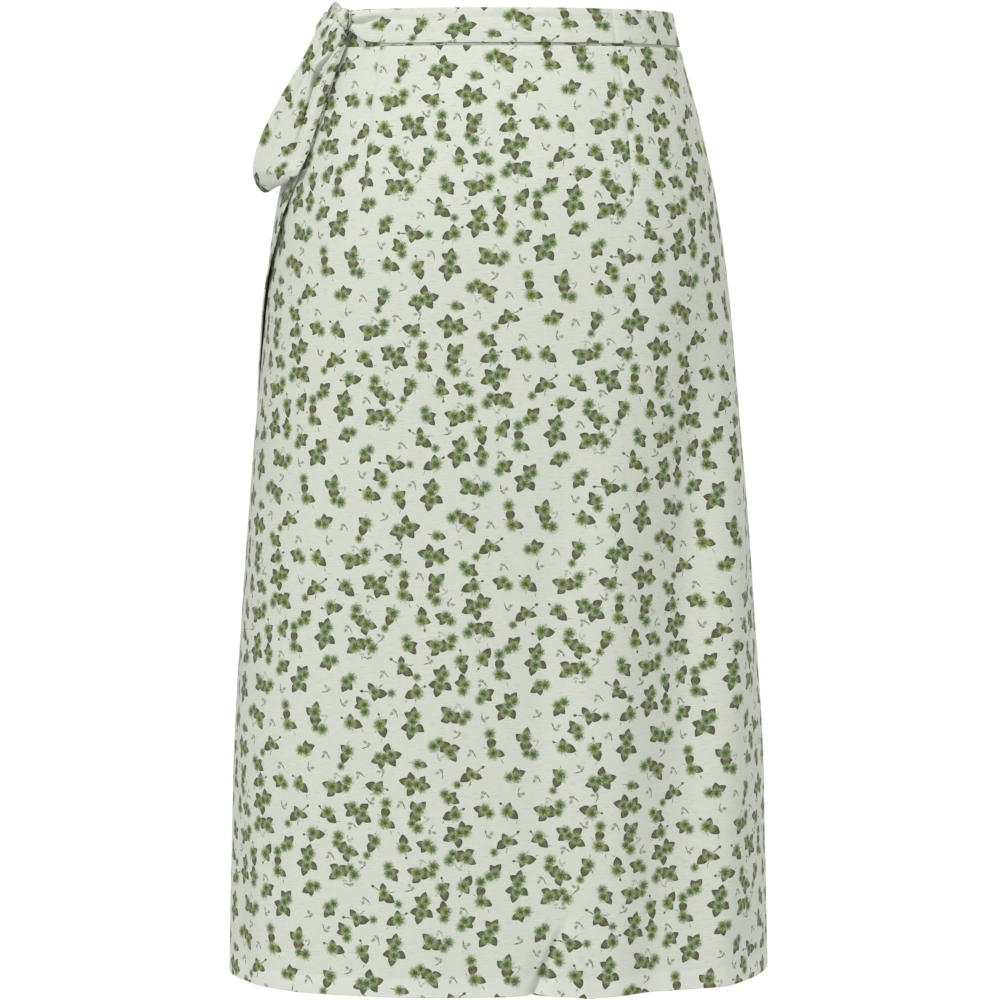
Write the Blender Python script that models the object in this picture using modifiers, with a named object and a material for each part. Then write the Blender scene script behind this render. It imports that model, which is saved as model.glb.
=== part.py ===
"""Wrap skirt, right front over left, tied in a bow at the wearer's left side.

The skirt keeps the hollow form it has when worn. The back faces -Y, +X is the
wearer's right, +Z is up, and the origin is the centre of the waistband.
Every piece of cloth is a wall that follows one form, worked out from sections
of the skirt, and each is a separate solid.
"""
from collections import namedtuple
from functools import lru_cache
from math import cos, exp, pi, radians, sin

import bmesh
import bpy
import numpy as np
from mathutils import Vector

# ---- driving sizes, in metres --------------------------------------------------
WALL = 0.0011            # cloth wall
BAND_WALL = 0.0013       # waistband: folded cloth, two plies
SEAM_GAP = 0.0003        # between the waistband and the panels
SIDE_GAP = 0.00045       # at the side seams, at the outer face
LAYER = 0.0020           # from one cloth layer's outer face to the next one's
BAND_INSET = 0.0013      # the waistband lies this far inside the form
BAND_TOP = 0.0135        # above the origin; the band is 27 mm tall
BAND_FOOT = -0.0135
TIE_OUT = -0.00025       # middle of the tie's wall over the back waistband
HEM_DROP = 0.700         # from the waistband's centre down to the hem
UNDER_HEM_RISE = 0.006   # the under panel is a little shorter than the rest
UNDER_EDGE = 3.70        # where the under panel's free edge lies, in quarters
SLOT_AT = 3.786          # slot in the waistband for the tie, in quarters
SLOT_HALF = 0.0048       # half the slot's length along the band
SLOT_TALL = 0.0206
DART_TOP_AT = 0.522      # darts: place between side (0) and centre back (1)
DART_TIP_AT = 0.558
DART_HALF = 0.0026
DART_DEPTH = 0.0010
DART_END = 0.142         # drop at the tip of each dart

# ---- the form: sections of the skirt at drops below the waistband's centre ------
Section = namedtuple("Section", "drop half_width back_depth front_depth square_right square_left")
SECTIONS = (
    Section(-0.0135, 0.1293, 0.0930, 0.0900, 2.15, 2.15),
    Section(0.0135, 0.1353, 0.0975, 0.0945, 2.15, 2.15),
    Section(0.0650, 0.1494, 0.1105, 0.1045, 2.15, 2.15),
    Section(0.1250, 0.1626, 0.1225, 0.1125, 2.18, 2.20),
    Section(0.1850, 0.1712, 0.1285, 0.1175, 2.22, 2.30),
    Section(0.2600, 0.1785, 0.1315, 0.1215, 2.25, 2.40),
    Section(0.3500, 0.1865, 0.1340, 0.1255, 2.30, 2.50),
    Section(0.4400, 0.1932, 0.1362, 0.1290, 2.32, 2.60),
    Section(0.5300, 0.1991, 0.1382, 0.1320, 2.35, 2.70),
    Section(0.6000, 0.2010, 0.1395, 0.1345, 2.38, 2.75),
    Section(0.7000, 0.2031, 0.1410, 0.1380, 2.40, 2.80),
)
FRONT_SQUARE = 2.15

# Quarters are counted round the skirt: 0 right side, 1 centre back, 2 left side,
# 3 centre front, 4 right side again. A place such as 1.5 is halfway along the cloth.

# ---- the large folds: soft troughs (lift below zero) and ridges ------------------
Fold = namedtuple("Fold", "name drop_top drop_end at_top at_middle at_end half_width lift")
FOLDS = (
    Fold("back_trough", 0.200, 0.900, 0.860, 0.990, 0.990, 0.030, -0.0030),
    Fold("back_ridge", 0.180, 0.900, 0.715, 0.800, 0.820, 0.026, 0.0022),
    Fold("hip_trough", 0.110, 0.900, 0.260, 0.610, 0.570, 0.030, -0.0042),
    Fold("hip_ridge", 0.170, 0.900, 0.180, 0.460, 0.480, 0.024, 0.0026),
    Fold("left_groove", 0.400, 0.900, 1.960, 1.740, 1.700, 0.013, -0.0018),
    Fold("hem_fold_left", 0.620, 0.730, 0.815, 0.885, 0.955, 0.008, -0.0030),
    Fold("hem_fold_right", 0.640, 0.730, 0.845, 0.787, 0.720, 0.008, 0.0022),
    Fold("front_trough", 0.220, 0.900, 2.800, 2.720, 2.680, 0.034, -0.0040),
    Fold("front_ridge", 0.200, 0.900, 3.050, 3.020, 2.960, 0.034, 0.0030),
    Fold("right_front_trough", 0.160, 0.900, 3.620, 3.480, 3.440, 0.030, -0.0038),
)

# ---- free edge of the over panel: how far it laps past the left side seam ---------
Edge = namedtuple("Edge", "drop lap")
OVER_EDGE = (
    Edge(-0.0135, 0.0620),
    Edge(0.0400, 0.0665),
    Edge(0.0800, 0.0655),
    Edge(0.1060, 0.0575),
    Edge(0.1300, 0.0490),
    Edge(0.1550, 0.0450),
    Edge(0.1800, 0.0325),
    Edge(0.2200, 0.0120),
    Edge(0.3000, -0.0200),
    Edge(0.4500, -0.0550),
    Edge(0.7000, -0.0900),
)

# ---- the tie over the back, from the slot to the knot; columns in metres ----------
Run = namedtuple("Run", "at out top foot crown")
TIE_RUN = (
    Run(-0.2980, -0.00195, 0.0092, -0.0092, 0.0),
    Run(-0.2430, -0.00195, 0.0090, -0.0090, 0.0),
    Run(-0.1880, 0.00190, 0.0090, -0.0090, 0.0),
    Run(-0.1500, 0.00180, 0.0108, -0.0104, 0.0),
    Run(-0.0200, 0.00015, 0.0130, -0.0116, 0.0),
    Run(0.0800, TIE_OUT, 0.0130, -0.0116, 0.0),
    Run(0.5000, TIE_OUT, 0.0132, -0.0117, 0.0),
    Run(1.0000, TIE_OUT, 0.0134, -0.0118, 0.0),
    Run(1.4200, TIE_OUT, 0.0132, -0.0117, 0.0),
    Run(1.4900, 0.00005, 0.0130, -0.0112, 0.0010),
    Run(1.5500, 0.00110, 0.0126, -0.0098, 0.0020),
    Run(1.6000, 0.00280, 0.0118, -0.0050, 0.0024),
    Run(1.6400, 0.00500, 0.0100, -0.0005, 0.0016),
)
RUN_ROWS = (0.0, 0.14, 0.30, 0.46, 0.72, 1.0)
RUN_ROLL = (0.3, 1.0, 0.8, -0.1, 0.0, 0.0)     # share of the crown at each row

# ---- knot and bow -----------------------------------------------------------------
KNOT_AT = 1.645
KNOT_DROP = -0.0050
KNOT_OUT = 0.0066
KNOT_SIZE = Vector((0.0054, 0.0060, 0.0080))     # half sizes: along, out, up

# The hanging loop: a ribbon between its left and right edges, down in front, round
# and up behind. crease is the depth of the valley along it, or below zero a belly.
Station = namedtuple("Station", "left_x left_y left_z right_x right_y right_z crease")
HANGING_LOOP = (
    Station(-0.1134, -0.0643, 0.0057, -0.1110, -0.0657, 0.0003, 0.0),
    Station(-0.1245, -0.0657, 0.0067, -0.1115, -0.0699, -0.0043, 0.0015),
    Station(-0.1345, -0.0617, -0.0065, -0.1151, -0.0703, -0.0165, 0.0030),
    Station(-0.1420, -0.0587, -0.0218, -0.1202, -0.0689, -0.0328, 0.0040),
    Station(-0.1537, -0.0545, -0.0411, -0.1276, -0.0675, -0.0539, 0.0040),
    Station(-0.1663, -0.0505, -0.0632, -0.1350, -0.0668, -0.0750, 0.0028),
    Station(-0.1757, -0.0470, -0.0843, -0.1412, -0.0662, -0.0915, 0.0014),
    Station(-0.1802, -0.0448, -0.1022, -0.1443, -0.0660, -0.1018, -0.0010),
    Station(-0.1778, -0.0400, -0.1148, -0.1470, -0.0640, -0.1072, -0.0026),
    Station(-0.1712, -0.0330, -0.1196, -0.1486, -0.0600, -0.1066, -0.0026),
    Station(-0.1668, -0.0290, -0.1090, -0.1480, -0.0572, -0.0985, -0.0010),
    Station(-0.1606, -0.0330, -0.0850, -0.1430, -0.0568, -0.0830, 0.0),
    Station(-0.1515, -0.0420, -0.0560, -0.1338, -0.0590, -0.0590, 0.0),
    Station(-0.1385, -0.0515, -0.0270, -0.1235, -0.0622, -0.0350, 0.0),
    Station(-0.1266, -0.0588, -0.0090, -0.1164, -0.0642, -0.0150, 0.0),
    Station(-0.1163, -0.0603, 0.0023, -0.1117, -0.0617, -0.0003, 0.0),
)

# Ribbons that lie along the skirt: place round it, drop, distance out from what
# carries them to the middle of the wall, width, and lean of the width in degrees.
Lie = namedtuple("Lie", "at drop out width lean")
SIDE_LOOP = (
    Lie(1.652, -0.0075, 0.0062, 0.0070, 0.0),
    Lie(1.695, -0.0105, 0.0078, 0.0185, 0.0),
    Lie(1.770, 0.0006, 0.0060, 0.0230, 4.0),
    Lie(1.860, 0.0058, 0.0036, 0.0250, 8.0),
    Lie(2.000, 0.0110, 0.0028, 0.0280, 14.0),
    Lie(2.150, 0.0240, 0.0036, 0.0320, 26.0),
    Lie(2.300, 0.0430, 0.0060, 0.0340, 36.0),
    Lie(2.420, 0.0610, 0.0062, 0.0340, 42.0),
    Lie(2.452, 0.0660, 0.0036, 0.0335, 44.0),
    Lie(2.400, 0.0590, 0.0013, 0.0330, 42.0),
    Lie(2.300, 0.0440, 0.0012, 0.0310, 36.0),
    Lie(2.150, 0.0255, 0.0012, 0.0280, 26.0),
    Lie(2.000, 0.0125, 0.0012, 0.0230, 14.0),
    Lie(1.860, 0.0060, 0.0013, 0.0180, 8.0),
    Lie(1.760, -0.0020, 0.0022, 0.0120, 2.0),
    Lie(1.668, -0.0075, 0.0032, 0.0060, 0.0),
)
LONG_TAIL = (
    Lie(1.640, -0.0010, 0.0012, 0.0050, 48.0),
    Lie(1.700, 0.0100, 0.0012, 0.0090, 48.0),
    Lie(1.790, 0.0260, 0.0012, 0.0140, 48.0),
    Lie(1.920, 0.0490, 0.0012, 0.0220, 50.0),
    Lie(2.070, 0.0790, 0.0012, 0.0290, 54.0),
    Lie(2.190, 0.1140, 0.0012, 0.0350, 64.0),
    Lie(2.260, 0.1600, 0.0012, 0.0380, 78.0),
    Lie(2.285, 0.2200, 0.0012, 0.0380, 86.0),
    Lie(2.290, 0.2650, 0.0013, 0.0380, 90.0),
    Lie(2.292, 0.3050, 0.0013, 0.0380, 90.0),
)
TAIL_SHIFT = 0.030        # the short tail lies on the long one, this far round
TAIL_STEP = 0.0016        # and this far out
TAIL_SHORTER = 0.045

CLOTH_COLOUR = (0.68, 0.71, 0.60, 1.0)
CLOTH_ROUGHNESS = 0.78


# ---- reading the tables -------------------------------------------------------------
def between(rows, key, at, column):
    """Value of a column at a place, on a smooth curve through the table's rows."""
    places = [getattr(row, key) for row in rows]
    values = [getattr(row, column) for row in rows]
    last = len(rows) - 1
    at = min(max(at, places[0]), places[last])
    index = min(max(int(np.searchsorted(places, at)) - 1, 0), last - 1)

    def slope(k):
        low, high = max(k - 1, 0), min(k + 1, last)
        return (values[high] - values[low]) / (places[high] - places[low])

    span = places[index + 1] - places[index]
    part = (at - places[index]) / span
    start, end = values[index], values[index + 1]
    return ((2 * part**3 - 3 * part**2 + 1) * start + (part**3 - 2 * part**2 + part) * span * slope(index)
            + (3 * part**2 - 2 * part**3) * end + (part**3 - part**2) * span * slope(index + 1))


def smooth(part):
    """A soft step from 0 to 1."""
    part = min(max(part, 0.0), 1.0)
    return part * part * (3.0 - 2.0 * part)


# ---- the form -----------------------------------------------------------------------
@lru_cache(maxsize=None)
def quarter(drop, index):
    """One quarter of the section at a drop: points and their distance along it."""
    width = between(SECTIONS, "drop", drop, "half_width")
    back = index in (0, 1)
    depth = between(SECTIONS, "drop", drop, "back_depth" if back else "front_depth")
    if back:
        square = between(SECTIONS, "drop", drop, "square_right" if index == 0 else "square_left")
    else:
        square = FRONT_SQUARE
    turn = np.linspace(0.0, pi / 2, 61)
    if index in (1, 3):
        turn = turn[::-1]
    x = width * np.abs(np.cos(turn)) ** (2 / square) * (1 if index in (0, 3) else -1)
    y = depth * np.abs(np.sin(turn)) ** (2 / square) * (-1 if back else 1)
    along = np.concatenate(([0.0], np.cumsum(np.hypot(np.diff(x), np.diff(y)))))
    return x, y, along


def form(at, drop):
    """Point of the plain form at a place round the skirt and a drop."""
    at = at % 4.0
    index = min(int(at), 3)
    x, y, along = quarter(drop, index)
    distance = (at - index) * along[-1]
    return Vector((float(np.interp(distance, along, x)), float(np.interp(distance, along, y)), -drop))


def quarter_length(at, drop):
    return float(quarter(drop, min(int(at % 4.0), 3))[2][-1])


def outward(at, drop):
    """Direction square to the form."""
    around = form(at + 0.02, drop) - form(at - 0.02, drop)
    down = form(at, drop + 0.004) - form(at, drop - 0.004)
    return around.cross(down).normalized()


def fold_lift(at, drop):
    """How far the folds and darts push the cloth out, or in, at a place."""
    lift = 0.0
    for fold in FOLDS:
        part = (drop - fold.drop_top) / (fold.drop_end - fold.drop_top)
        if not 0.0 < part < 1.0:
            continue
        middle = 2 * fold.at_middle - (fold.at_top + fold.at_end) / 2
        path = (1 - part) ** 2 * fold.at_top + 2 * part * (1 - part) * middle + part**2 * fold.at_end
        distance = (at - path) * quarter_length(at, drop)
        fade = smooth(part / 0.35)
        lift += fold.lift * fade * exp(-((distance / fold.half_width) ** 2))
    for dart in (dart_at(drop), 2.0 - dart_at(drop)):
        distance = abs(at - dart) * quarter_length(at, drop)
        if drop < DART_END and distance < DART_HALF:
            lift -= DART_DEPTH * smooth((DART_END - drop) / 0.05) * (1 - distance / DART_HALF)
    return lift


def dart_at(drop):
    """Place of the dart's line, which slants a little towards the centre back."""
    return DART_TOP_AT + (DART_TIP_AT - DART_TOP_AT) * smooth(drop / DART_END)


def cloth(at, drop, out):
    """Point on the folded cloth, moved out from it."""
    return form(at, drop) + outward(at, drop) * (out + fold_lift(at % 4.0, drop))


def over_layer(at):
    """The over panel lies a layer out, and comes down to the right side seam."""
    return LAYER * (1.0 - smooth((at - 3.81) / 0.17))


def over_edge(drop):
    """Place of the over panel's free edge."""
    lap = between(OVER_EDGE, "drop", drop, "lap")
    return 2.0 - lap / quarter_length(1.5 if lap > 0 else 2.5, drop)


# ---- making objects -------------------------------------------------------------------
def clear_scene():
    for item in list(bpy.data.objects):
        bpy.data.objects.remove(item, do_unlink=True)


def new_collection(name):
    collection = bpy.data.collections.new(name)
    bpy.context.scene.collection.children.link(collection)
    return collection


def cloth_material(name):
    material = bpy.data.materials.new(name)
    material.use_nodes = True
    shader = material.node_tree.nodes["Principled BSDF"]
    shader.inputs["Base Color"].default_value = CLOTH_COLOUR
    shader.inputs["Roughness"].default_value = CLOTH_ROUGHNESS
    shader.inputs["Metallic"].default_value = 0.0
    return material


def finish(name, mesh, collection):
    """Object of a mesh, with its own material."""
    mesh.shade_smooth()
    piece = bpy.data.objects.new(name, mesh)
    mesh.materials.append(cloth_material(name + "_cloth"))
    collection.objects.link(piece)
    return piece


def wall(piece, thickness, offset):
    """Gives an open sheet its thickness."""
    solid = piece.modifiers.new("wall", "SOLIDIFY")
    solid.thickness = thickness
    solid.offset = offset
    solid.use_even_offset = True
    solid.use_quality_normals = True


def sheet(name, columns, rows, place, thickness, offset, collection):
    """A grid of cloth, each corner put in its place, and made a wall."""
    grid = bmesh.new()
    bmesh.ops.create_grid(grid, x_segments=columns, y_segments=rows, size=0.5)
    for corner in grid.verts:
        column = round((corner.co.x + 0.5) * columns)
        row = round((corner.co.y + 0.5) * rows)
        corner.co = place(column, row)
    mesh = bpy.data.meshes.new(name)
    grid.to_mesh(mesh)
    grid.free()
    piece = finish(name, mesh, collection)
    wall(piece, thickness, offset)
    return piece


# ---- panels ---------------------------------------------------------------------------
PANEL_TOP = -BAND_FOOT + SEAM_GAP
PANEL_ROWS = (PANEL_TOP, 0.028, 0.046, 0.067, 0.091, 0.117, 0.144, 0.174, 0.208, 0.248, 0.294,
              0.344, 0.396, 0.448, 0.498, 0.544, 0.584, 0.618, 0.648, 0.675, HEM_DROP)
SIDE_COLUMNS = (0.0, 0.035, 0.080, 0.135, 0.195, 0.260, 0.325, 0.390, 0.445, 0.490)
CENTRE_COLUMNS = (0.605, 0.650, 0.695, 0.740, 0.780, 0.815, 0.850, 0.885, 0.920, 0.960)
DART_SPREAD = (-0.013, 0.0, 0.013)
FREE_COLUMNS = 13                  # over panel: from its free edge to the shared columns
SHARED_START = 2.40
SHARED_STEP = 0.07


def back_places(drop):
    """Columns of the back panel, from right to left side seam, with three on each dart."""
    dart = tuple(dart_at(drop) + spread for spread in DART_SPREAD)
    half = SIDE_COLUMNS + dart + CENTRE_COLUMNS
    return half + (1.0,) + tuple(2.0 - at for at in reversed(half))


def front_places(end):
    """Columns that the over and under panels share, so that they lie apart all over."""
    count = int((end - SHARED_START) / SHARED_STEP)
    return tuple(SHARED_START + SHARED_STEP * k for k in range(count + 1)) + (end,)


def make_back_panel(collection):
    def place(column, row):
        drop = PANEL_ROWS[row]
        inset = SIDE_GAP / 2 / quarter_length(0.5, drop)
        at = min(max(back_places(drop)[column], inset), 2.0 - inset)
        return cloth(at, drop, 0.0)

    columns = len(back_places(0.0)) - 1
    return sheet("back_panel", columns, len(PANEL_ROWS) - 1, place, WALL, -1.0, collection)


def make_over_panel(collection):
    def place(column, row):
        drop = PANEL_ROWS[row]
        shared = front_places(4.0 - SIDE_GAP / 2 / quarter_length(3.5, drop))
        if column < FREE_COLUMNS:
            start = over_edge(drop)
            at = start + (SHARED_START - start) * column / FREE_COLUMNS
        else:
            at = shared[column - FREE_COLUMNS]
        return cloth(at, drop, over_layer(at))

    columns = FREE_COLUMNS + len(front_places(3.999)) - 1
    return sheet("over_panel", columns, len(PANEL_ROWS) - 1, place, WALL, -1.0, collection)


def make_under_panel(collection):
    last = len(PANEL_ROWS) - 1
    side = (0.0, 0.035, 0.08, 0.135, 0.2, 0.265, 0.33)

    def place(column, row):
        drop = PANEL_ROWS[row] - (UNDER_HEM_RISE if row == last else 0.0)
        places = tuple(2.0 + step for step in side) + front_places(UNDER_EDGE)
        at = max(places[column], 2.0 + SIDE_GAP / 2 / quarter_length(2.5, drop))
        return cloth(at, drop, 0.0)

    columns = len(side) + len(front_places(UNDER_EDGE)) - 1
    return sheet("under_panel", columns, last, place, WALL, -1.0, collection)


# ---- waistband ----------------------------------------------------------------------
def make_band(name, start, end, columns, layer, collection):
    """A stretch of waistband between two places, layer(at) out from the inset."""
    def place(column, row):
        at = start + (end - start) * column / columns
        drop = (-BAND_TOP, 0.0, -BAND_FOOT)[row]
        return cloth(at, drop, layer(at) - BAND_INSET)

    return sheet(name, columns, 2, place, BAND_WALL, -1.0, collection)


def make_waistband(collection, cutters):
    def flat(_at):
        return 0.0

    lap_end = over_edge(0.0)
    seam = SIDE_GAP / 2 / quarter_length(0.5, 0.0)
    make_band("waistband_back", seam, 2.0 - seam, 36, flat, collection)
    make_band("waistband_under", 2.0 + seam, UNDER_EDGE, 28, flat, collection)
    over = make_band("waistband_over", lap_end, 4.0 - seam, 42, over_layer, collection)
    bpy.ops.mesh.primitive_cube_add(size=1.0)
    slot = bpy.context.active_object
    slot.name = "slot_cutter"
    facing = outward(SLOT_AT, 0.0)
    slot.location = cloth(SLOT_AT, 0.0, 0.0)
    slot.rotation_euler = Vector((facing.x, facing.y, 0.0)).to_track_quat("Y", "Z").to_euler()
    slot.scale = (2 * SLOT_HALF, 0.012, SLOT_TALL)
    slot.hide_render = True
    slot.display_type = "WIRE"
    for owner in list(slot.users_collection):
        owner.objects.unlink(slot)
    cutters.objects.link(slot)
    cut = over.modifiers.new("slot", "BOOLEAN")
    cut.operation = "DIFFERENCE"
    cut.object = slot


# ---- tie and bow --------------------------------------------------------------------
def make_tie_run(collection):
    columns = 56
    fixed = [run.at for run in TIE_RUN]
    spread = [fixed[0] + (fixed[-1] - fixed[0]) * k / columns for k in range(1, columns)]
    places = sorted(fixed + [at for at in spread if min(abs(at - mark) for mark in fixed) > 0.012])

    def place(column, row):
        at = places[column]
        top = between(TIE_RUN, "at", at, "top")
        foot = between(TIE_RUN, "at", at, "foot")
        height = top + (foot - top) * RUN_ROWS[row]
        roll = between(TIE_RUN, "at", at, "crown") * RUN_ROLL[row]
        return cloth(at, -height, between(TIE_RUN, "at", at, "out") + roll)

    return sheet("tie_back_run", len(places) - 1, len(RUN_ROWS) - 1, place, WALL, 0.0, collection)


def make_knot(name, grow, collection):
    """A rounded knot; grow makes it larger all round."""
    ball = bmesh.new()
    bmesh.ops.create_uvsphere(ball, u_segments=14, v_segments=9, radius=1.0)
    centre = cloth(KNOT_AT, KNOT_DROP, KNOT_OUT)
    out = outward(KNOT_AT, KNOT_DROP)
    out = Vector((out.x, out.y, 0.0)).normalized()
    along = Vector((-out.y, out.x, 0.0))
    for corner in ball.verts:
        x, y, z = corner.co
        pinch = 1.0 - 0.16 * z * z
        corner.co = (centre + along * x * (KNOT_SIZE.x + grow) * pinch
                     + out * y * (KNOT_SIZE.y + grow) * pinch
                     + Vector((0, 0, 1)) * z * (KNOT_SIZE.z + grow))
    bmesh.ops.recalc_face_normals(ball, faces=ball.faces)
    mesh = bpy.data.meshes.new(name)
    ball.to_mesh(mesh)
    ball.free()
    return finish(name, mesh, collection)


def make_hanging_loop(collection):
    """The loop that hangs from the knot: down in front, round, and up behind."""
    columns, rows = 38, 6
    last = len(HANGING_LOOP) - 1
    Along = namedtuple("Along", ("s",) + Station._fields)
    stations = [Along(k, *station) for k, station in enumerate(HANGING_LOOP)]

    def edges(s):
        return tuple(Vector([between(stations, "s", s, side + axis) for axis in "xyz"])
                     for side in ("left_", "right_"))

    def place(column, row):
        s = last * column / columns
        left, right = edges(s)
        ahead, behind = edges(min(s + 0.2, last)), edges(max(s - 0.2, 0))
        path = ahead[0] + ahead[1] - behind[0] - behind[1]
        face = (left - right).cross(path).normalized()
        across = row / rows
        valley = between(stations, "s", s, "crease") * exp(-(((across - 0.62) / 0.16) ** 2))
        return left.lerp(right, across) - face * valley

    return sheet("bow_loop_hanging", columns, rows, place, WALL, 0.0, collection)


def carrier(at, drop):
    """Outer face of the over panel, or of its waistband above the seam."""
    return over_layer(at) - BAND_INSET * (1.0 - smooth((drop - 0.004) / 0.0095))


def make_lying_ribbon(name, table, columns, rows, collection):
    """A ribbon that lies along the skirt, worked out from its table."""
    last = len(table) - 1
    Along = namedtuple("Along", ("s",) + Lie._fields)
    stations = [Along(k, *station) for k, station in enumerate(table)]

    def place(column, row):
        s = last * column / columns
        at, drop, out, width, lean = (between(stations, "s", s, field) for field in Lie._fields)
        across = (0.5 - row / rows) * width
        here = at + across * sin(radians(lean)) / quarter_length(at, drop)
        low = drop - across * cos(radians(lean))
        return cloth(here, low, carrier(here, low) + out)

    return sheet(name, columns, rows, place, WALL, 0.0, collection)


def short_tail():
    """The short tail's table: the long one's, moved out and round, and cut shorter."""
    end = LONG_TAIL[-1].drop - TAIL_SHORTER
    rows = []
    for lie in LONG_TAIL:
        share = smooth(lie.drop / 0.05)
        rows.append(lie._replace(at=lie.at + TAIL_SHIFT * share, out=lie.out + TAIL_STEP,
                                 drop=min(lie.drop, end)))
    return tuple(rows[:-1])


def keep_off_knot(piece, knot_room):
    cut = piece.modifiers.new("knot_room", "BOOLEAN")
    cut.operation = "DIFFERENCE"
    cut.object = knot_room


def main():
    clear_scene()
    skirt = new_collection("wrap_skirt")
    cutters = new_collection("cutters")
    make_back_panel(skirt)
    make_over_panel(skirt)
    make_under_panel(skirt)
    make_waistband(skirt, cutters)
    make_knot("knot", 0.0, skirt)
    knot_room = make_knot("knot_room", SEAM_GAP, cutters)
    knot_room.hide_render = True
    knot_room.display_type = "WIRE"
    ribbons = (
        make_tie_run(skirt),
        make_hanging_loop(skirt),
        make_lying_ribbon("bow_loop_side", SIDE_LOOP, 34, 4, skirt),
        make_lying_ribbon("tie_tail_long", LONG_TAIL, 22, 3, skirt),
        make_lying_ribbon("tie_tail_short", short_tail(), 20, 3, skirt),
    )
    for ribbon in ribbons:
        keep_off_knot(ribbon, knot_room)


main()
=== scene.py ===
"""Wrap skirt, dressed: printed crepe over the frame, with its folds, seams and stitches.

The skirt is worn with nobody in it. The back faces -Y and +X is the wearer's right.
Lengths are in metres; places in the print and on the cloth's own map are in millimetres.
"""
from collections import namedtuple
from math import atan, cos, pi, radians, sin

import bpy
import numpy as np
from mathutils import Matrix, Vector


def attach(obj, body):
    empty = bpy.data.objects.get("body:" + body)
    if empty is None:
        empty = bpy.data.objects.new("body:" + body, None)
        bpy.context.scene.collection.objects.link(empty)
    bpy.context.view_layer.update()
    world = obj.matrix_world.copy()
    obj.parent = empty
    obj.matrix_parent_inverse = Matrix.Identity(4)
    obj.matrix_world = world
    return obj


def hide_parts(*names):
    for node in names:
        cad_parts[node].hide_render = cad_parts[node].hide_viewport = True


bl_info = {
    "name": "Wrap skirt",
    "version": (1, 0, 0),
    "blender": (4, 5, 0),
    "location": "3D View > Sidebar > Wrap skirt",
    "description": "Dresses the wrap skirt's frame in printed crepe, with its folds, seams and stitches",
    "category": "Object",
}

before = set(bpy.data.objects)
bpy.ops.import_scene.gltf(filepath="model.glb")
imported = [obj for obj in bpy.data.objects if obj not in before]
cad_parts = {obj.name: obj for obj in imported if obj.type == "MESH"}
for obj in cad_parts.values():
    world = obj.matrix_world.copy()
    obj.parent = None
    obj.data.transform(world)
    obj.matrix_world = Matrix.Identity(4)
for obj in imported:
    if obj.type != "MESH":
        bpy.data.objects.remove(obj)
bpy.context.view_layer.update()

# ---- sizes that the frame was made from ------------------------------------------------
SIDE_GAP = 0.00045
LAYER = 0.0020
BAND_INSET = 0.0013
BAND_WALL = 0.0013
BAND_HALF = 0.0135
SEAM_GAP = 0.0003
WALL = 0.0011
HEM_DROP = 0.700
UNDER_HEM_RISE = 0.006
UNDER_EDGE = 3.70
SLOT_AT = 3.786
SLOT_HALF = 0.0048
SLOT_TALL = 0.0206
DART_TOP_AT = 0.522
DART_TIP_AT = 0.558
DART_HALF = 0.0026
DART_DEPTH = 0.0010
DART_END = 0.142
TIE_OUT = -0.00025
LAYER_DOWN_AT = 3.81       # where the over panel begins to come down to the right side seam
LAYER_DOWN_RUN = 0.17
CARRIER_STEP_AT = 0.004    # where what lies on the waistband begins to step out to the panel
CARRIER_STEP_RUN = 0.0095
SLOT_ROW_OUT = 0.0014      # from the slot, or the band's end, to its stitches

# Sections of the form at drops below the waistband's centre.
Section = namedtuple("Section", "drop half_width back_depth front_depth square_right square_left")
SECTIONS = (
    Section(-0.0135, 0.1293, 0.0930, 0.0900, 2.15, 2.15),
    Section(0.0135, 0.1353, 0.0975, 0.0945, 2.15, 2.15),
    Section(0.0650, 0.1494, 0.1105, 0.1045, 2.15, 2.15),
    Section(0.1250, 0.1626, 0.1225, 0.1125, 2.18, 2.20),
    Section(0.1850, 0.1712, 0.1285, 0.1175, 2.22, 2.30),
    Section(0.2600, 0.1785, 0.1315, 0.1215, 2.25, 2.40),
    Section(0.3500, 0.1865, 0.1340, 0.1255, 2.30, 2.50),
    Section(0.4400, 0.1932, 0.1362, 0.1290, 2.32, 2.60),
    Section(0.5300, 0.1991, 0.1382, 0.1320, 2.35, 2.70),
    Section(0.6000, 0.2010, 0.1395, 0.1345, 2.38, 2.75),
    Section(0.7000, 0.2031, 0.1410, 0.1380, 2.40, 2.80),
)
FRONT_SQUARE = 2.15

# Quarters are counted round the skirt: 0 right side, 1 centre back, 2 left side,
# 3 centre front, 4 right side again.
Fold = namedtuple("Fold", "name drop_top drop_end at_top at_middle at_end half_width lift")
FOLDS = (
    Fold("back_trough", 0.200, 0.900, 0.860, 0.990, 0.990, 0.030, -0.0030),
    Fold("back_ridge", 0.180, 0.900, 0.715, 0.800, 0.820, 0.026, 0.0022),
    Fold("hip_trough", 0.110, 0.900, 0.260, 0.610, 0.570, 0.030, -0.0042),
    Fold("hip_ridge", 0.170, 0.900, 0.180, 0.460, 0.480, 0.024, 0.0026),
    Fold("left_groove", 0.400, 0.900, 1.960, 1.740, 1.700, 0.013, -0.0018),
    Fold("hem_fold_left", 0.620, 0.730, 0.815, 0.885, 0.955, 0.008, -0.0030),
    Fold("hem_fold_right", 0.640, 0.730, 0.845, 0.787, 0.720, 0.008, 0.0022),
    Fold("front_trough", 0.220, 0.900, 2.800, 2.720, 2.680, 0.034, -0.0040),
    Fold("front_ridge", 0.200, 0.900, 3.050, 3.020, 2.960, 0.034, 0.0030),
    Fold("right_front_trough", 0.160, 0.900, 3.620, 3.480, 3.440, 0.030, -0.0038),
)

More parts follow.
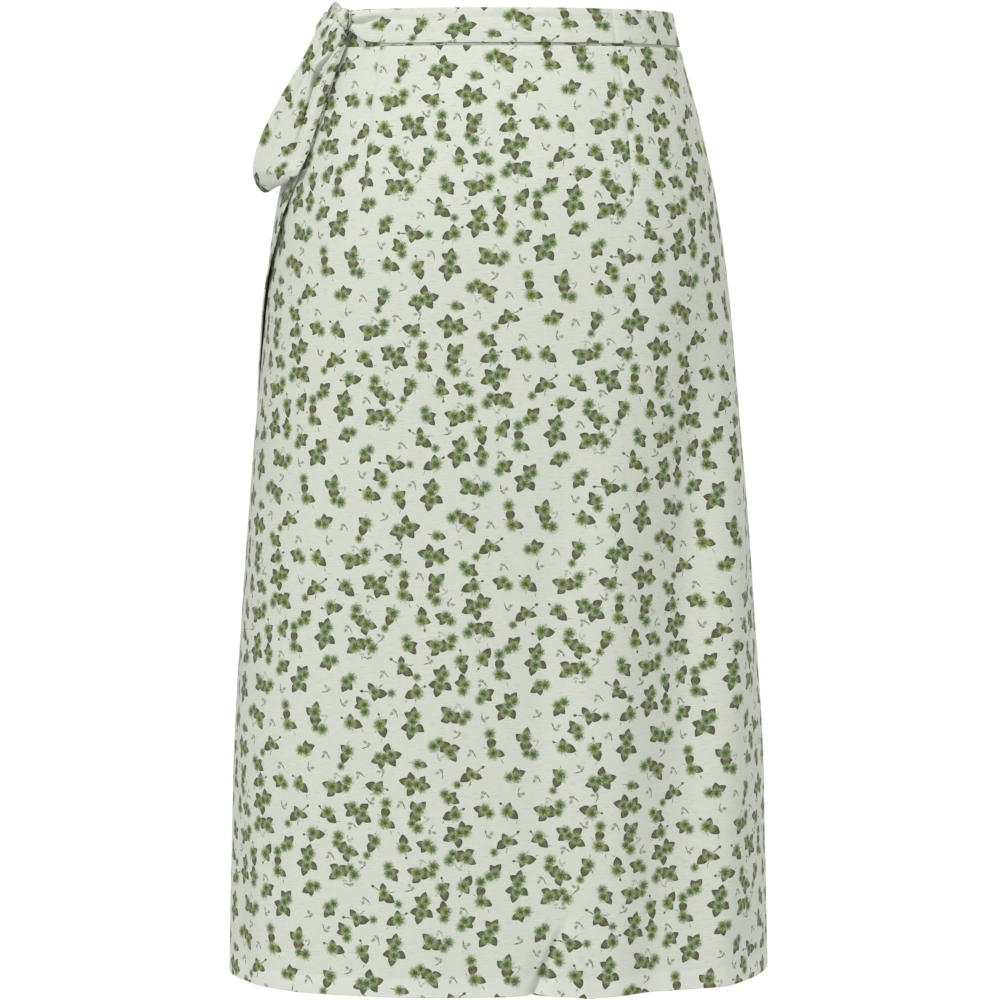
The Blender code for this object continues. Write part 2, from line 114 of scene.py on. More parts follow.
# Finer creases that the frame leaves out.
CREASES = (
    Fold("back_soft_a", 0.300, 0.800, 1.150, 1.120, 1.160, 0.012, -0.0006),
    Fold("back_soft_b", 0.260, 0.800, 1.330, 1.300, 1.330, 0.016, -0.0008),
    Fold("back_soft_c", 0.420, 0.800, 0.930, 0.900, 0.880, 0.010, 0.0005),
    Fold("left_soft", 0.180, 0.800, 1.560, 1.520, 1.500, 0.014, 0.0008),
    Fold("back_trough_core", 0.240, 0.900, 0.761, 0.889, 0.825, 0.022, -0.0077),
    Fold("back_ridge_core", 0.200, 0.900, 0.680, 0.670, 0.717, 0.022, 0.0057),
    Fold("hip_trough_core", 0.110, 0.900, 0.293, 0.447, 0.418, 0.020, -0.0064),
    Fold("hip_trough_side", 0.170, 0.900, 0.419, 0.541, 0.648, 0.030, -0.0020),
    Fold("hip_ridge_hollow", 0.170, 0.900, 0.282, 0.502, 0.640, 0.024, -0.0052),
    Fold("hip_ridge_core", 0.170, 0.900, 0.129, 0.338, 0.436, 0.020, 0.0062),
    Fold("hem_pull", 0.575, 0.690, 0.840, 0.836, 0.820, 0.006, -0.0018),
    Fold("hem_line_left", 0.625, 0.745, 0.790, 0.888, 0.988, 0.0034, -0.0050),
    Fold("hem_line_crest", 0.625, 0.745, 0.802, 0.902, 1.004, 0.0030, 0.0016),
    Fold("hem_line_right", 0.625, 0.745, 0.860, 0.788, 0.717, 0.0040, 0.0026),
    Fold("front_soft_a", 0.100, 0.800, 2.450, 2.400, 2.380, 0.016, -0.0008),
    Fold("front_soft_b", 0.200, 0.800, 3.250, 3.230, 3.200, 0.014, 0.0008),
    Fold("side_soft", 0.140, 0.800, 3.820, 3.800, 3.780, 0.014, -0.0007),
)
FOLD_RISE = 0.35           # share of a fold's length over which it grows to its full depth
RIPPLE = 0.00022           # slight unevenness of the hanging cloth
RIPPLE_FROM, RIPPLE_RISE = 0.03, 0.12          # the drop where it begins, and how soon it is full
PUCKER = 0.00022           # small gathers right under the waistband
PUCKER_DROP = 0.020        # how far down they reach
PUCKER_PEAK = 6.75         # brings their highest place to 1
DART_FADE = 0.05           # how far above its end a dart begins to get shallow

Edge = namedtuple("Edge", "drop lap")
OVER_EDGE = (
    Edge(-0.0135, 0.0620),
    Edge(0.0400, 0.0665),
    Edge(0.0800, 0.0655),
    Edge(0.1060, 0.0575),
    Edge(0.1300, 0.0490),
    Edge(0.1550, 0.0450),
    Edge(0.1800, 0.0325),
    Edge(0.2200, 0.0120),
    Edge(0.3000, -0.0200),
    Edge(0.4500, -0.0550),
    Edge(0.7000, -0.0900),
)

Run = namedtuple("Run", "at out top foot crown")
TIE_RUN = (
    Run(-0.2980, -0.00195, 0.0092, -0.0092, 0.0),
    Run(-0.2430, -0.00195, 0.0090, -0.0090, 0.0),
    Run(-0.1880, 0.00190, 0.0090, -0.0090, 0.0),
    Run(-0.1500, 0.00180, 0.0108, -0.0104, 0.0),
    Run(-0.0200, 0.00015, 0.0130, -0.0116, 0.0),
    Run(0.0800, TIE_OUT, 0.0130, -0.0116, 0.0),
    Run(0.5000, TIE_OUT, 0.0132, -0.0117, 0.0),
    Run(1.0000, TIE_OUT, 0.0134, -0.0118, 0.0),
    Run(1.4200, TIE_OUT, 0.0132, -0.0117, 0.0),
    Run(1.4900, 0.00005, 0.0130, -0.0112, 0.0010),
    Run(1.5500, 0.00110, 0.0126, -0.0098, 0.0020),
    Run(1.6000, 0.00280, 0.0118, -0.0050, 0.0024),
    Run(1.6400, 0.00500, 0.0100, -0.0005, 0.0016),
)
RUN_ROWS = (0.0, 0.14, 0.30, 0.46, 0.72, 1.0)
RUN_ROLL = (0.3, 1.0, 0.8, -0.1, 0.0, 0.0)

# The sharp fold under the tie's rolled upper edge, where it runs into the knot.
TieFold = namedtuple("TieFold", "at across depth")
TIE_FOLD = (
    TieFold(-0.3000, 0.28, 0.0),
    TieFold(1.4300, 0.28, 0.0),
    TieFold(1.4900, 0.30, 0.0005),
    TieFold(1.5300, 0.34, 0.0020),
    TieFold(1.5600, 0.40, 0.0026),
    TieFold(1.6000, 0.54, 0.0024),
    TieFold(1.6400, 0.66, 0.0010),
)
TIE_PINCH_AT = 1.579       # a short upright fold below it: its place, depth and half width
TIE_PINCH = 0.0009
TIE_PINCH_WIDTH = 0.0045
TIE_DENT = 0.00090         # the long soft crease that runs along the tie

KNOT_AT = 1.645
KNOT_DROP = -0.0050
KNOT_OUT = 0.0066
KNOT_SIZE = Vector((0.0054, 0.0060, 0.0080))
KNOT_CLEAR = 0.0003        # room between the knot and what comes out of it

Station = namedtuple("Station", "left_x left_y left_z right_x right_y right_z crease")
HANGING_LOOP = (
    Station(-0.1134, -0.0643, 0.0057, -0.1110, -0.0657, 0.0003, 0.0),
    Station(-0.1245, -0.0657, 0.0067, -0.1115, -0.0699, -0.0043, 0.0015),
    Station(-0.1345, -0.0617, -0.0065, -0.1151, -0.0703, -0.0165, 0.0030),
    Station(-0.1420, -0.0587, -0.0218, -0.1202, -0.0689, -0.0328, 0.0040),
    Station(-0.1537, -0.0545, -0.0411, -0.1276, -0.0675, -0.0539, 0.0040),
    Station(-0.1663, -0.0505, -0.0632, -0.1350, -0.0668, -0.0750, 0.0028),
    Station(-0.1757, -0.0470, -0.0843, -0.1412, -0.0662, -0.0915, 0.0014),
    Station(-0.1802, -0.0448, -0.1022, -0.1443, -0.0660, -0.1018, -0.0010),
    Station(-0.1778, -0.0400, -0.1148, -0.1470, -0.0640, -0.1072, -0.0026),
    Station(-0.1712, -0.0330, -0.1196, -0.1486, -0.0600, -0.1066, -0.0026),
    Station(-0.1668, -0.0290, -0.1090, -0.1480, -0.0572, -0.0985, -0.0010),
    Station(-0.1606, -0.0330, -0.0850, -0.1430, -0.0568, -0.0830, 0.0),
    Station(-0.1515, -0.0420, -0.0560, -0.1338, -0.0590, -0.0590, 0.0),
    Station(-0.1385, -0.0515, -0.0270, -0.1235, -0.0622, -0.0350, 0.0),
    Station(-0.1266, -0.0588, -0.0090, -0.1164, -0.0642, -0.0150, 0.0),
    Station(-0.1163, -0.0603, 0.0023, -0.1117, -0.0617, -0.0003, 0.0),
)

Lie = namedtuple("Lie", "at drop out width lean")
SIDE_LOOP = (
    Lie(1.652, -0.0075, 0.0062, 0.0070, 0.0),
    Lie(1.695, -0.0105, 0.0078, 0.0185, 0.0),
    Lie(1.770, 0.0006, 0.0060, 0.0230, 4.0),
    Lie(1.860, 0.0058, 0.0036, 0.0250, 8.0),
    Lie(2.000, 0.0110, 0.0028, 0.0280, 14.0),
    Lie(2.150, 0.0240, 0.0036, 0.0320, 26.0),
    Lie(2.300, 0.0430, 0.0060, 0.0340, 36.0),
    Lie(2.420, 0.0610, 0.0062, 0.0340, 42.0),
    Lie(2.452, 0.0660, 0.0036, 0.0335, 44.0),
    Lie(2.400, 0.0590, 0.0013, 0.0330, 42.0),
    Lie(2.300, 0.0440, 0.0012, 0.0310, 36.0),
    Lie(2.150, 0.0255, 0.0012, 0.0280, 26.0),
    Lie(2.000, 0.0125, 0.0012, 0.0230, 14.0),
    Lie(1.860, 0.0060, 0.0013, 0.0180, 8.0),
    Lie(1.760, -0.0020, 0.0022, 0.0120, 2.0),
    Lie(1.668, -0.0075, 0.0032, 0.0060, 0.0),
)
LONG_TAIL = (
    Lie(1.640, -0.0010, 0.0012, 0.0050, 48.0),
    Lie(1.700, 0.0100, 0.0012, 0.0090, 48.0),
    Lie(1.790, 0.0260, 0.0012, 0.0140, 48.0),
    Lie(1.920, 0.0490, 0.0012, 0.0220, 50.0),
    Lie(2.070, 0.0790, 0.0012, 0.0290, 54.0),
    Lie(2.190, 0.1140, 0.0012, 0.0350, 64.0),
    Lie(2.260, 0.1600, 0.0012, 0.0380, 78.0),
    Lie(2.285, 0.2200, 0.0012, 0.0380, 86.0),
    Lie(2.290, 0.2650, 0.0013, 0.0380, 90.0),
    Lie(2.292, 0.3050, 0.0013, 0.0380, 90.0),
)
# The hanging loop's sharp fold: its place as a share of the width, its depth and half
# width; and how far the loop's right edge curls in towards the skirt.
Pleat = namedtuple("Pleat", "s across depth spread curl")
LOOP_PLEAT = (
    Pleat(0.0, 0.92, 0.0, 0.040, 0.0),
    Pleat(0.8, 0.92, 0.0, 0.040, 0.0040),
    Pleat(1.6, 0.86, 0.0010, 0.036, 0.0056),
    Pleat(2.2, 0.76, 0.0016, 0.036, 0.0044),
    Pleat(2.7, 0.64, 0.0032, 0.052, 0.0033),
    Pleat(3.1, 0.54, 0.0042, 0.066, 0.0024),
    Pleat(3.5, 0.54, 0.0044, 0.050, 0.0020),
    Pleat(4.1, 0.62, 0.0042, 0.034, 0.0020),
    Pleat(5.0, 0.69, 0.0032, 0.030, 0.0021),
    Pleat(6.2, 0.75, 0.0012, 0.030, 0.0025),
    Pleat(7.2, 0.78, 0.0, 0.030, 0.0),
    Pleat(9.0, 0.78, 0.0, 0.030, 0.0),
    Pleat(10.0, 0.78, 0.0, 0.030, -0.0014),
    Pleat(14.0, 0.78, 0.0, 0.030, -0.0014),
    Pleat(15.0, 0.78, 0.0, 0.030, 0.0),
)
VALLEY_SHARE = 0.40        # of the frame's soft crease, where the sharp fold takes over
VALLEY_AT, VALLEY_WIDTH = 0.62, 0.16
LIP_SHARE = 0.30           # of the sharp fold's depth, that its lips rise beside it
CURL_FROM, CURL_SPAN = 0.58, 0.42    # where across the loop the curl begins, and its reach
TIP_FROM, TIP_SPAN = 0.87, 0.13      # and where its edge turns in once more
TIP_SHARE = 0.5
LOOP_STEP = 0.0026         # how far the loop's left border drops back at the knot
LOOP_GATHERS = 0.00035     # small gathers beside the knot
LOOP_SECOND = 0.0011       # a second, shallow fold down the left of the loop
LOOP_ROLL = 0.0012         # the roll of its two borders
LOOP_CREST = 0.0009        # the ridge where the loop turns back up, and its place
LOOP_CREST_AT = 7.15
STRIP_WALL = 0.9           # the bow's strips, as a share of the tie's thickness
FINE = 1200                # points along a strip, before it is trimmed at the knot
TAIL_SHIFT = 0.030
TAIL_STEP = 0.0016
TAIL_SHORTER = 0.045

# ---- the print: one repeat, in millimetres, x along the cloth and y down it ------------
REPEAT = 160.0
REPEAT_ACROSS = (154.9, 16.8)        # where the next repeat lies on the cloth
REPEAT_DOWN = (-13.6, 164.7)
PRINT_TURN = 5.5                     # degrees
# turn is the way a leaf's point or a stroke faces, in degrees from x towards y.
Mark = namedtuple("Mark", "kind x y size turn tone")
MARKS = {
    "cluster": (
        Mark("flower", 2.5, -3.8, 3.9, 0, 0.3),
        Mark("flower", 0.0, 0.0, 4.4, 0, 0.8),
        Mark("flower", 0.0, 5.5, 4.0, 0, 0.5),
        Mark("leaf", 1.0, -7.5, 3.1, -80, 0.35),
        Mark("leaf", -3.4, -4.4, 3.3, -150, 0.25),
        Mark("leaf", -5.2, 4.5, 3.7, 170, 0.15),
        Mark("leaf", 5.5, 5.0, 3.7, 35, 0.15),
        Mark("leaf", -1.9, 9.7, 3.7, 100, 0.60),
    ),
    "bud": (
        Mark("flower", 0.0, 0.0, 4.7, 0, 0.2),
        Mark("leaf", 3.4, -2.0, 3.2, -40, 0.20),
        Mark("leaf", 2.9, 5.2, 4.2, 75, 0.45),
        Mark("stroke", 0.2, -5.6, 1.9, -110, 0.0),
        Mark("leaf", -0.6, -7.4, 1.1, -110, 0.1),
        Mark("stroke", -2.8, 4.8, 1.7, 120, 0.0),
        Mark("stroke", 1.9, 10.4, 1.8, 110, 0.0),
    ),
    "bud_and_flower": (
        Mark("flower", 0.0, 0.0, 4.6, 0, 0.4),
        Mark("flower", 5.6, 11.0, 3.2, 0, 0.6),
        Mark("leaf", 3.4, -2.0, 3.2, -40, 0.20),
        Mark("leaf", 2.9, 5.2, 4.2, 75, 0.70),
        Mark("stroke", 0.2, -5.6, 1.9, -110, 0.0),
        Mark("stroke", -2.8, 4.8, 1.7, 120, 0.0),
    ),
    "pair": (
        Mark("flower", -1.1, -7.2, 4.4, 0, 0.5),
        Mark("leaf", 0.0, 0.0, 4.2, 95, 0.75),
        Mark("flower", 1.4, 6.4, 4.9, 0, 0.1),
        Mark("leaf", 6.9, 6.8, 3.4, 20, 0.10),
        Mark("stroke", 8.2, 12.0, 1.9, 60, 0.0),
        Mark("stroke", -4.6, 2.6, 1.6, 200, 0.0),
    ),
    "twin": (
        Mark("flower", 0.0, 0.0, 4.2, 0, 0.2),
        Mark("flower", 4.9, 0.0, 4.1, 0, 0.7),
        Mark("leaf", -3.7, 3.8, 3.2, 150, 0.20),
        Mark("leaf", 0.7, 4.5, 3.3, 80, 0.30),
    ),
    "spray": (
        Mark("leaf", 0.4, 0.4, 5.0, 20, 1.00),
        Mark("leaf", 0.2, -0.4, 4.5, -65, 0.90),
        Mark("flower", -5.0, -2.6, 4.8, 0, 0.3),
        Mark("leaf", -8.5, -5.7, 3.3, -140, 0.35),
        Mark("leaf", -8.0, 1.4, 3.5, 165, 0.05),
        Mark("flower", 8.0, -1.8, 4.6, 0, 0.7),
        Mark("flower", 4.8, 2.4, 3.6, 0, 0.4),
        Mark("sprig", 1.9, -8.0, 0.8, 20, 0.0),
    ),
    "branch": (
        Mark("flower", 0.0, 0.0, 3.8, 0, 0.3),
        Mark("leaf", -0.7, -4.7, 3.1, -95, 0.25),
        Mark("leaf", -1.7, 3.3, 3.1, 130, 0.30),
        Mark("leaf", 4.5, 3.8, 4.2, 30, 0.60),
        Mark("stroke", -5.4, -3.2, 3.2, 211, 0.0),
        Mark("leaf", -8.6, -5.1, 1.3, 211, 0.1),
        Mark("stroke", 6.2, -1.4, 2.6, -13, 0.0),
        Mark("flower", 11.0, 6.9, 3.3, 0, 0.8),
    ),
    "single": (
        Mark("flower", 0.0, 0.0, 4.1, 0, 0.2),
        Mark("leaf", 4.1, 0.5, 3.1, 20, 0.15),
        Mark("stroke", -5.0, -1.0, 2.2, 188, 0.0),
    ),
    "sprig": (Mark("sprig", 0.0, 0.0, 1.0, 0, 1.0),),
}
Spray = namedtuple("Spray", "kind x y turn flip")
# Where the sprays of each kind lie: x, y, their turn in degrees, and -1 where one is mirrored.
SPRAYS = {
    "cluster": (
        (63.1, 15.2, 0, 1), (44.8, 47.0, 355, 1), (25.8, 75.0, 240, 1), (132.4, 153.6, 0, 1),
        (114.8, 28.4, 20, 1), (51.6, 90.6, 85, 1), (86.3, 121.0, 50, 1), (7.5, 115.2, 285, 1),
    ),
    "bud": (
        (46.6, 26.9, 40, -1), (76.2, 1.1, 0, 1), (19.9, 52.4, 355, 1), (91.9, 158.3, 190, -1),
        (157.4, 54.4, 300, 1), (22.7, 97.7, 80, -1), (82.2, 108.9, 45, -1), (45.1, 136.3, 150, -1),
        (119.8, 103.1, 320, 1), (145.7, 118.6, 290, -1), (134.9, 134.8, 245, -1),
    ),
    "pair": (
        (105.3, 1.3, 5, 1), (104.2, 57.0, 355, 1), (29.6, 113.6, 10, 1),
    ),
    "twin": (
        (136.2, 12.5, 355, 1), (95.4, 22.4, 295, -1), (151.7, 25.3, 325, 1), (81.2, 17.2, 105, 1),
        (7.3, 40.0, 80, 1), (76.1, 98.8, 230, 1), (63.1, 131.2, 40, 1), (36.4, 155.4, 255, 1),
        (124.7, 78.9, 180, 1), (103.3, 102.5, 40, 1), (115.3, 147.7, 155, 1),
    ),
    "single": (
        (51.3, 76.4, 355, 1),
    ),
    "spray": (
        (76.6, 41.2, 355, 1), (70.0, 62.2, 190, 1), (1.9, 157.8, 180, -1), (130.2, 56.0, 55, 1),
        (52.4, 113.4, 85, 1), (87.6, 137.2, 165, 1), (63.0, 152.1, 330, 1), (153.0, 100.1, 330, 1),
        (159.2, 141.6, 50, -1),
    ),
    "branch": (
        (33.7, 10.0, 355, 1), (14.2, 30.0, 325, 1), (91.9, 79.7, 110, 1), (122.5, 123.6, 105, 1),
    ),
    "bud_and_flower": (
        (23.9, 133.9, 0, -1), (157.8, 73.8, 355, -1),
    ),
    "sprig": (
        (20.2, 16.9, 0, 1), (52.9, 4.0, 120, 1), (30.9, 43.1, 30, 1), (11.1, 68.1, 110, 1),
        (78.2, 52.8, 100, 1), (90.5, 64.9, 10, 1), (6.7, 6.0, 150, 1), (93.9, 15.3, 0, 1),
        (97.2, 39.1, 215, 1), (136.8, 33.4, 120, 1), (151.0, 40.5, 200, 1), (150.5, 149.0, 10, 1),
        (24.5, 85.9, 60, 1), (68.7, 80.8, 40, 1), (17.8, 106.3, 180, 1), (41.5, 106.1, 15, 1),
        (65.5, 121.3, 260, 1), (15.6, 152.0, 90, 1), (102.5, 92.9, 0, 1), (128.7, 89.2, 230, 1),
        (140.8, 78.9, 10, 1), (8.3, 89.4, 350, 1), (107.7, 120.2, 200, 1), (5.3, 125.6, 350, 1),
    ),
}
# Where each piece is cut from the print, in millimetres on the cloth's map.
CUT_FROM = {
    "back_panel": (74.0, -116.7),
    "over_panel": (31.0, 12.0),
    "under_panel": (97.0, 58.0),
    "waistband_back": (0.0, 250.0),
    "waistband_over": (20.0, 300.0),
    "waistband_under": (40.0, 330.0),
    "tie_back_run": (412.0, 410.0),
    "knot": (303.0, 47.0),
    "bow_loop_hanging": (210.0, 90.0),
    "bow_loop_side": (60.0, 120.0),
    "tie_tail_long": (90.0, 10.0),
    "tie_tail_short": (20.0, 70.0),
}
# How many marks of a kind one face of the cloth can carry.
FLOWER_SLOTS = 3
LEAF_SLOTS = 3
STROKE_SLOTS = 1
# How far past its own size a mark still reaches, in millimetres.
MARK_MARGIN = {"flower": 1.6, "leaf": 0.8, "stroke": 0.6, "sprig": 0.6}
MARK_REACH = {"sprig": 4.2}          # a mark's reach in its own sizes, where it isn't 1
NOWHERE = 9000.0
BLOCK = 6000               # how many spots are looked up at once
NO_MARK = (NOWHERE, NOWHERE, 1.0, 0.0)

# A sprig's pale buds and thin strokes, in millimetres from its centre. slim is a mark's
# width as a share of its length.
Twig = namedtuple("Twig", "x y half turn slim")
BUDS = (
    Twig(-1.8, -1.5, 1.80, 70.0, 0.62),
    Twig(-1.6, 1.7, 1.60, 20.0, 0.66),
)
TWIGS = (
    Twig(1.9, 0.0, 2.6, -46.0, 0.16),
    Twig(0.0, 1.4, 1.2, 62.0, 0.32),
)


# ---- reading the tables ----------------------------------------------------------------
def curve(rows, key, column, at):
    """Values of a column at an array of places, on a smooth curve through the rows."""
    places = np.array([getattr(row, key) for row in rows])
    values = np.array([getattr(row, column) for row in rows])
    last = len(rows) - 1
    low = np.maximum(np.arange(last + 1) - 1, 0)
    high = np.minimum(np.arange(last + 1) + 1, last)
    slope = (values[high] - values[low]) / (places[high] - places[low])
    at = np.clip(at, places[0], places[last])
    index = np.clip(np.searchsorted(places, at) - 1, 0, last - 1)
    span = places[index + 1] - places[index]
    part = (at - places[index]) / span
    return ((2 * part**3 - 3 * part**2 + 1) * values[index]
            + (part**3 - 2 * part**2 + part) * span * slope[index]
            + (3 * part**2 - 2 * part**3) * values[index + 1]
            + (part**3 - part**2) * span * slope[index + 1])


def smooth(part):
    """A soft step from 0 to 1."""
    part = np.clip(part, 0.0, 1.0)
    return part * part * (3.0 - 2.0 * part)


def bell(distance, width):
    """1 at no distance, and nearly 0 from twice the width on."""
    return np.exp(-((distance / width) ** 2))


def in_order(rows):
    """The rows of a table, each with its number s in front."""
    numbered = namedtuple("Numbered", ("s",) + type(rows[0])._fields)
    return [numbered(number, *row) for number, row in enumerate(rows)]


# ---- the form --------------------------------------------------------------------------
STEPS = 160                # points along a quarter of the form
DROP_STEP = 0.002
DROPS = np.arange(-0.020, 0.7081, DROP_STEP)


def form_tables():
    """The form's points, evenly along each quarter at each drop, and the quarters' lengths."""
    xs = np.zeros((len(DROPS), 4 * STEPS + 1))
    ys = np.zeros_like(xs)
    lengths = np.zeros((len(DROPS), 4))
    turn = np.linspace(0.0, pi / 2, 361)
    for row, drop in enumerate(DROPS):
        width = curve(SECTIONS, "drop", "half_width", drop)
        for index in range(4):
            back = index in (0, 1)
            depth = curve(SECTIONS, "drop", "back_depth" if back else "front_depth", drop)
            square = FRONT_SQUARE
            if back:
                side = "square_right" if index == 0 else "square_left"
                square = curve(SECTIONS, "drop", side, drop)
            angle = turn[::-1] if index in (1, 3) else turn
            x = width * np.abs(np.cos(angle)) ** (2 / square) * (1 if index in (0, 3) else -1)
            y = depth * np.abs(np.sin(angle)) ** (2 / square) * (-1 if back else 1)
            along = np.concatenate(([0.0], np.cumsum(np.hypot(np.diff(x), np.diff(y)))))
            even = np.linspace(0.0, along[-1], STEPS + 1)
            part = slice(index * STEPS, (index + 1) * STEPS + 1)
            xs[row, part] = np.interp(even, along, x)
            ys[row, part] = np.interp(even, along, y)
            lengths[row, index] = along[-1]
    return xs, ys, lengths


FORM_X, FORM_Y, FORM_LENGTH = form_tables()


def row_of(drop):
    """Row of the form's table at or above a drop, and how far below that row the drop lies."""
    row = np.clip((drop - DROPS[0]) / DROP_STEP, 0.0, len(DROPS) - 1.001)
    index = row.astype(int)
    return index, row - index


def form(at, drop):
    """Points of the plain form at places round the skirt and drops."""
    at, drop = np.broadcast_arrays(np.asarray(at, float) % 4.0, np.asarray(drop, float))
    column = np.clip(at * STEPS, 0.0, 4 * STEPS - 0.001)
    i = column.astype(int)
    a = column - i
    j, b = row_of(drop)

    def mixed(table):
        upper = table[j, i] * (1 - a) + table[j, i + 1] * a
        lower = table[j + 1, i] * (1 - a) + table[j + 1, i + 1] * a
        return upper * (1 - b) + lower * b

    return np.stack((mixed(FORM_X), mixed(FORM_Y), -drop), -1)


def quarter_length(at, drop):
    """Length of the quarter that a place lies in, at a drop."""
    at, drop = np.broadcast_arrays(np.asarray(at, float) % 4.0, np.asarray(drop, float))
    quarter = np.minimum(at.astype(int), 3)
    j, b = row_of(drop)
    return FORM_LENGTH[j, quarter] * (1 - b) + FORM_LENGTH[j + 1, quarter] * b


def arc(at, drop, start):
    """Length along the form from a place to another, positive towards the left side."""
    at, drop = np.broadcast_arrays(np.asarray(at, float), np.asarray(drop, float))

    def run(place):
        place = np.asarray(place, float) * np.ones_like(drop)
        total = np.zeros_like(drop)
        for quarter in range(-1, 4):
            share = np.clip(place - quarter, 0.0, 1.0)
            total = total + share * quarter_length(quarter + 0.5, drop)
        return total

    return run(at) - run(start)


def unit(vectors):
    return vectors / np.maximum(np.linalg.norm(vectors, axis=-1, keepdims=True), 1e-12)


def outward(at, drop):
    """Directions square to the form."""
    around = form(at + 0.02, drop) - form(at - 0.02, drop)
    down = form(at, drop + 0.004) - form(at, drop - 0.004)
    return unit(np.cross(around, down))


def dart_at(drop):
    """Place of the right dart; the left one mirrors it."""
    return DART_TOP_AT + (DART_TIP_AT - DART_TOP_AT) * smooth(drop / DART_END)


def fold_lift(at, drop):
    """How far folds, darts and creases push the cloth out, or in."""
    at, drop = np.broadcast_arrays(np.asarray(at, float) % 4.0, np.asarray(drop, float))
    length = quarter_length(at, drop)
    lift = np.zeros_like(at)
    for fold in FOLDS + CREASES:
        part = np.clip((drop - fold.drop_top) / (fold.drop_end - fold.drop_top), 0.0, 1.0)
        middle = 2 * fold.at_middle - (fold.at_top + fold.at_end) / 2
        path = ((1 - part) ** 2 * fold.at_top + 2 * part * (1 - part) * middle
                + part**2 * fold.at_end)
        distance = (at - path) * length
        lift += fold.lift * smooth(part / FOLD_RISE) * bell(distance, fold.half_width)
    for dart in (dart_at(drop), 2.0 - dart_at(drop)):
        distance = np.abs(at - dart) * length
        groove = np.clip(1 - distance / DART_HALF, 0.0, 1.0)
        lift -= DART_DEPTH * smooth((DART_END - drop) / DART_FADE) * groove
    lift += RIPPLE * ripple(at, drop) * smooth((drop - RIPPLE_FROM) / RIPPLE_RISE)
    below = np.clip((drop - BAND_HALF) / PUCKER_DROP, 0.0, 1.0)
    gathers = np.sin(at * 91.0) + 0.7 * np.sin(at * 57.0 + 1.0) + 0.5 * np.sin(at * 143.0 + 2.0)
    lift += PUCKER * gathers * below * (1 - below) ** 2 * PUCKER_PEAK * (drop > BAND_HALF)
    return lift


def ripple(at, drop):
    """Slow uneven waves down the cloth, between about -2 and 2."""
    turn = at * pi / 2
    waves = np.sin(7 * turn + 3.0 * np.sin(4.0 * drop + 0.4) + 1.3)
    waves = waves + 0.8 * np.sin(13 * turn + 4.5 * drop + 2.0 * np.sin(6 * drop) + 0.2)
    waves = waves + 0.5 * np.sin(23 * turn - 7.0 * drop + 2.6)
    return waves + 0.4 * np.sin(38.0 * drop + 5 * turn)


def cloth(at, drop, out):
    """Points on the folded cloth, moved out from it."""
    lift = np.asarray(out + fold_lift(at, drop))
    return form(at, drop) + outward(at, drop) * lift[..., None]


def over_layer(at):
    """How far the over panel lies out from the form."""
    return LAYER * (1.0 - smooth((at - LAYER_DOWN_AT) / LAYER_DOWN_RUN))


def over_edge(drop):
    """Place of the over panel's free edge."""
    lap = curve(OVER_EDGE, "drop", "lap", drop)
    return 2.0 - lap / np.where(lap > 0, quarter_length(1.5, drop), quarter_length(2.5, drop))


# ---- the print -------------------------------------------------------------------------
def repeat_marks():
    """Every mark of one repeat, sorted by kind, as rows of x, y, size, turn and tone."""
    found = {"flower": [], "leaf": [], "stroke": [], "sprig": []}
    sprays = [Spray(kind, *place) for kind, places in SPRAYS.items() for place in places]
    for order, spray in enumerate(sprays):
        turn = radians(spray.turn)
        for mark in MARKS[spray.kind]:
            x = mark.x * spray.flip
            own = radians(mark.turn)
            if spray.flip < 0:
                own = pi - own
            found[mark.kind].append((
                spray.x + x * cos(turn) - mark.y * sin(turn),
                spray.y + x * sin(turn) + mark.y * cos(turn),
                mark.size, own + turn + radians(PRINT_TURN),
                (mark.tone + 0.13 * (order % 5)) if mark.kind == "flower" else mark.tone))
    return {kind: np.array(rows) for kind, rows in found.items()}


PRINT = repeat_marks()


def nearest_marks(kind, spots, count, reach):
    """For each spot on the cloth map, the marks that reach it, as x, y, size, turn, tone."""
    marks = PRINT[kind]
    reach = np.broadcast_to(reach, len(spots))
    to_cloth = np.array([REPEAT_ACROSS, REPEAT_DOWN]).T / REPEAT
    to_repeat = np.linalg.inv(to_cloth)
    result = np.full((len(spots), count, 5), NOWHERE)
    result[:, :, 2:] = (1.0, 0.0, 0.0)
    for start in range(0, len(spots), BLOCK):
        block = spots[start:start + BLOCK]
        away = marks[None, :, :2] - (block @ to_repeat.T)[:, None, :]
        away -= REPEAT * np.round(away / REPEAT)
        away = away @ to_cloth.T
        gap = np.hypot(away[..., 0], away[..., 1]) - marks[None, :, 2] * MARK_REACH.get(kind, 1.0)
        order = np.argsort(gap, axis=1)[:, :count]
        for slot in range(count):
            pick = order[:, slot]
            rows = np.arange(len(block))
            near = gap[rows, pick] < reach[start:start + BLOCK] + MARK_MARGIN[kind]
            value = np.concatenate((block + away[rows, pick], marks[pick, 2:]), axis=1)
            result[start:start + len(block), slot][near] = value[near]
    return result


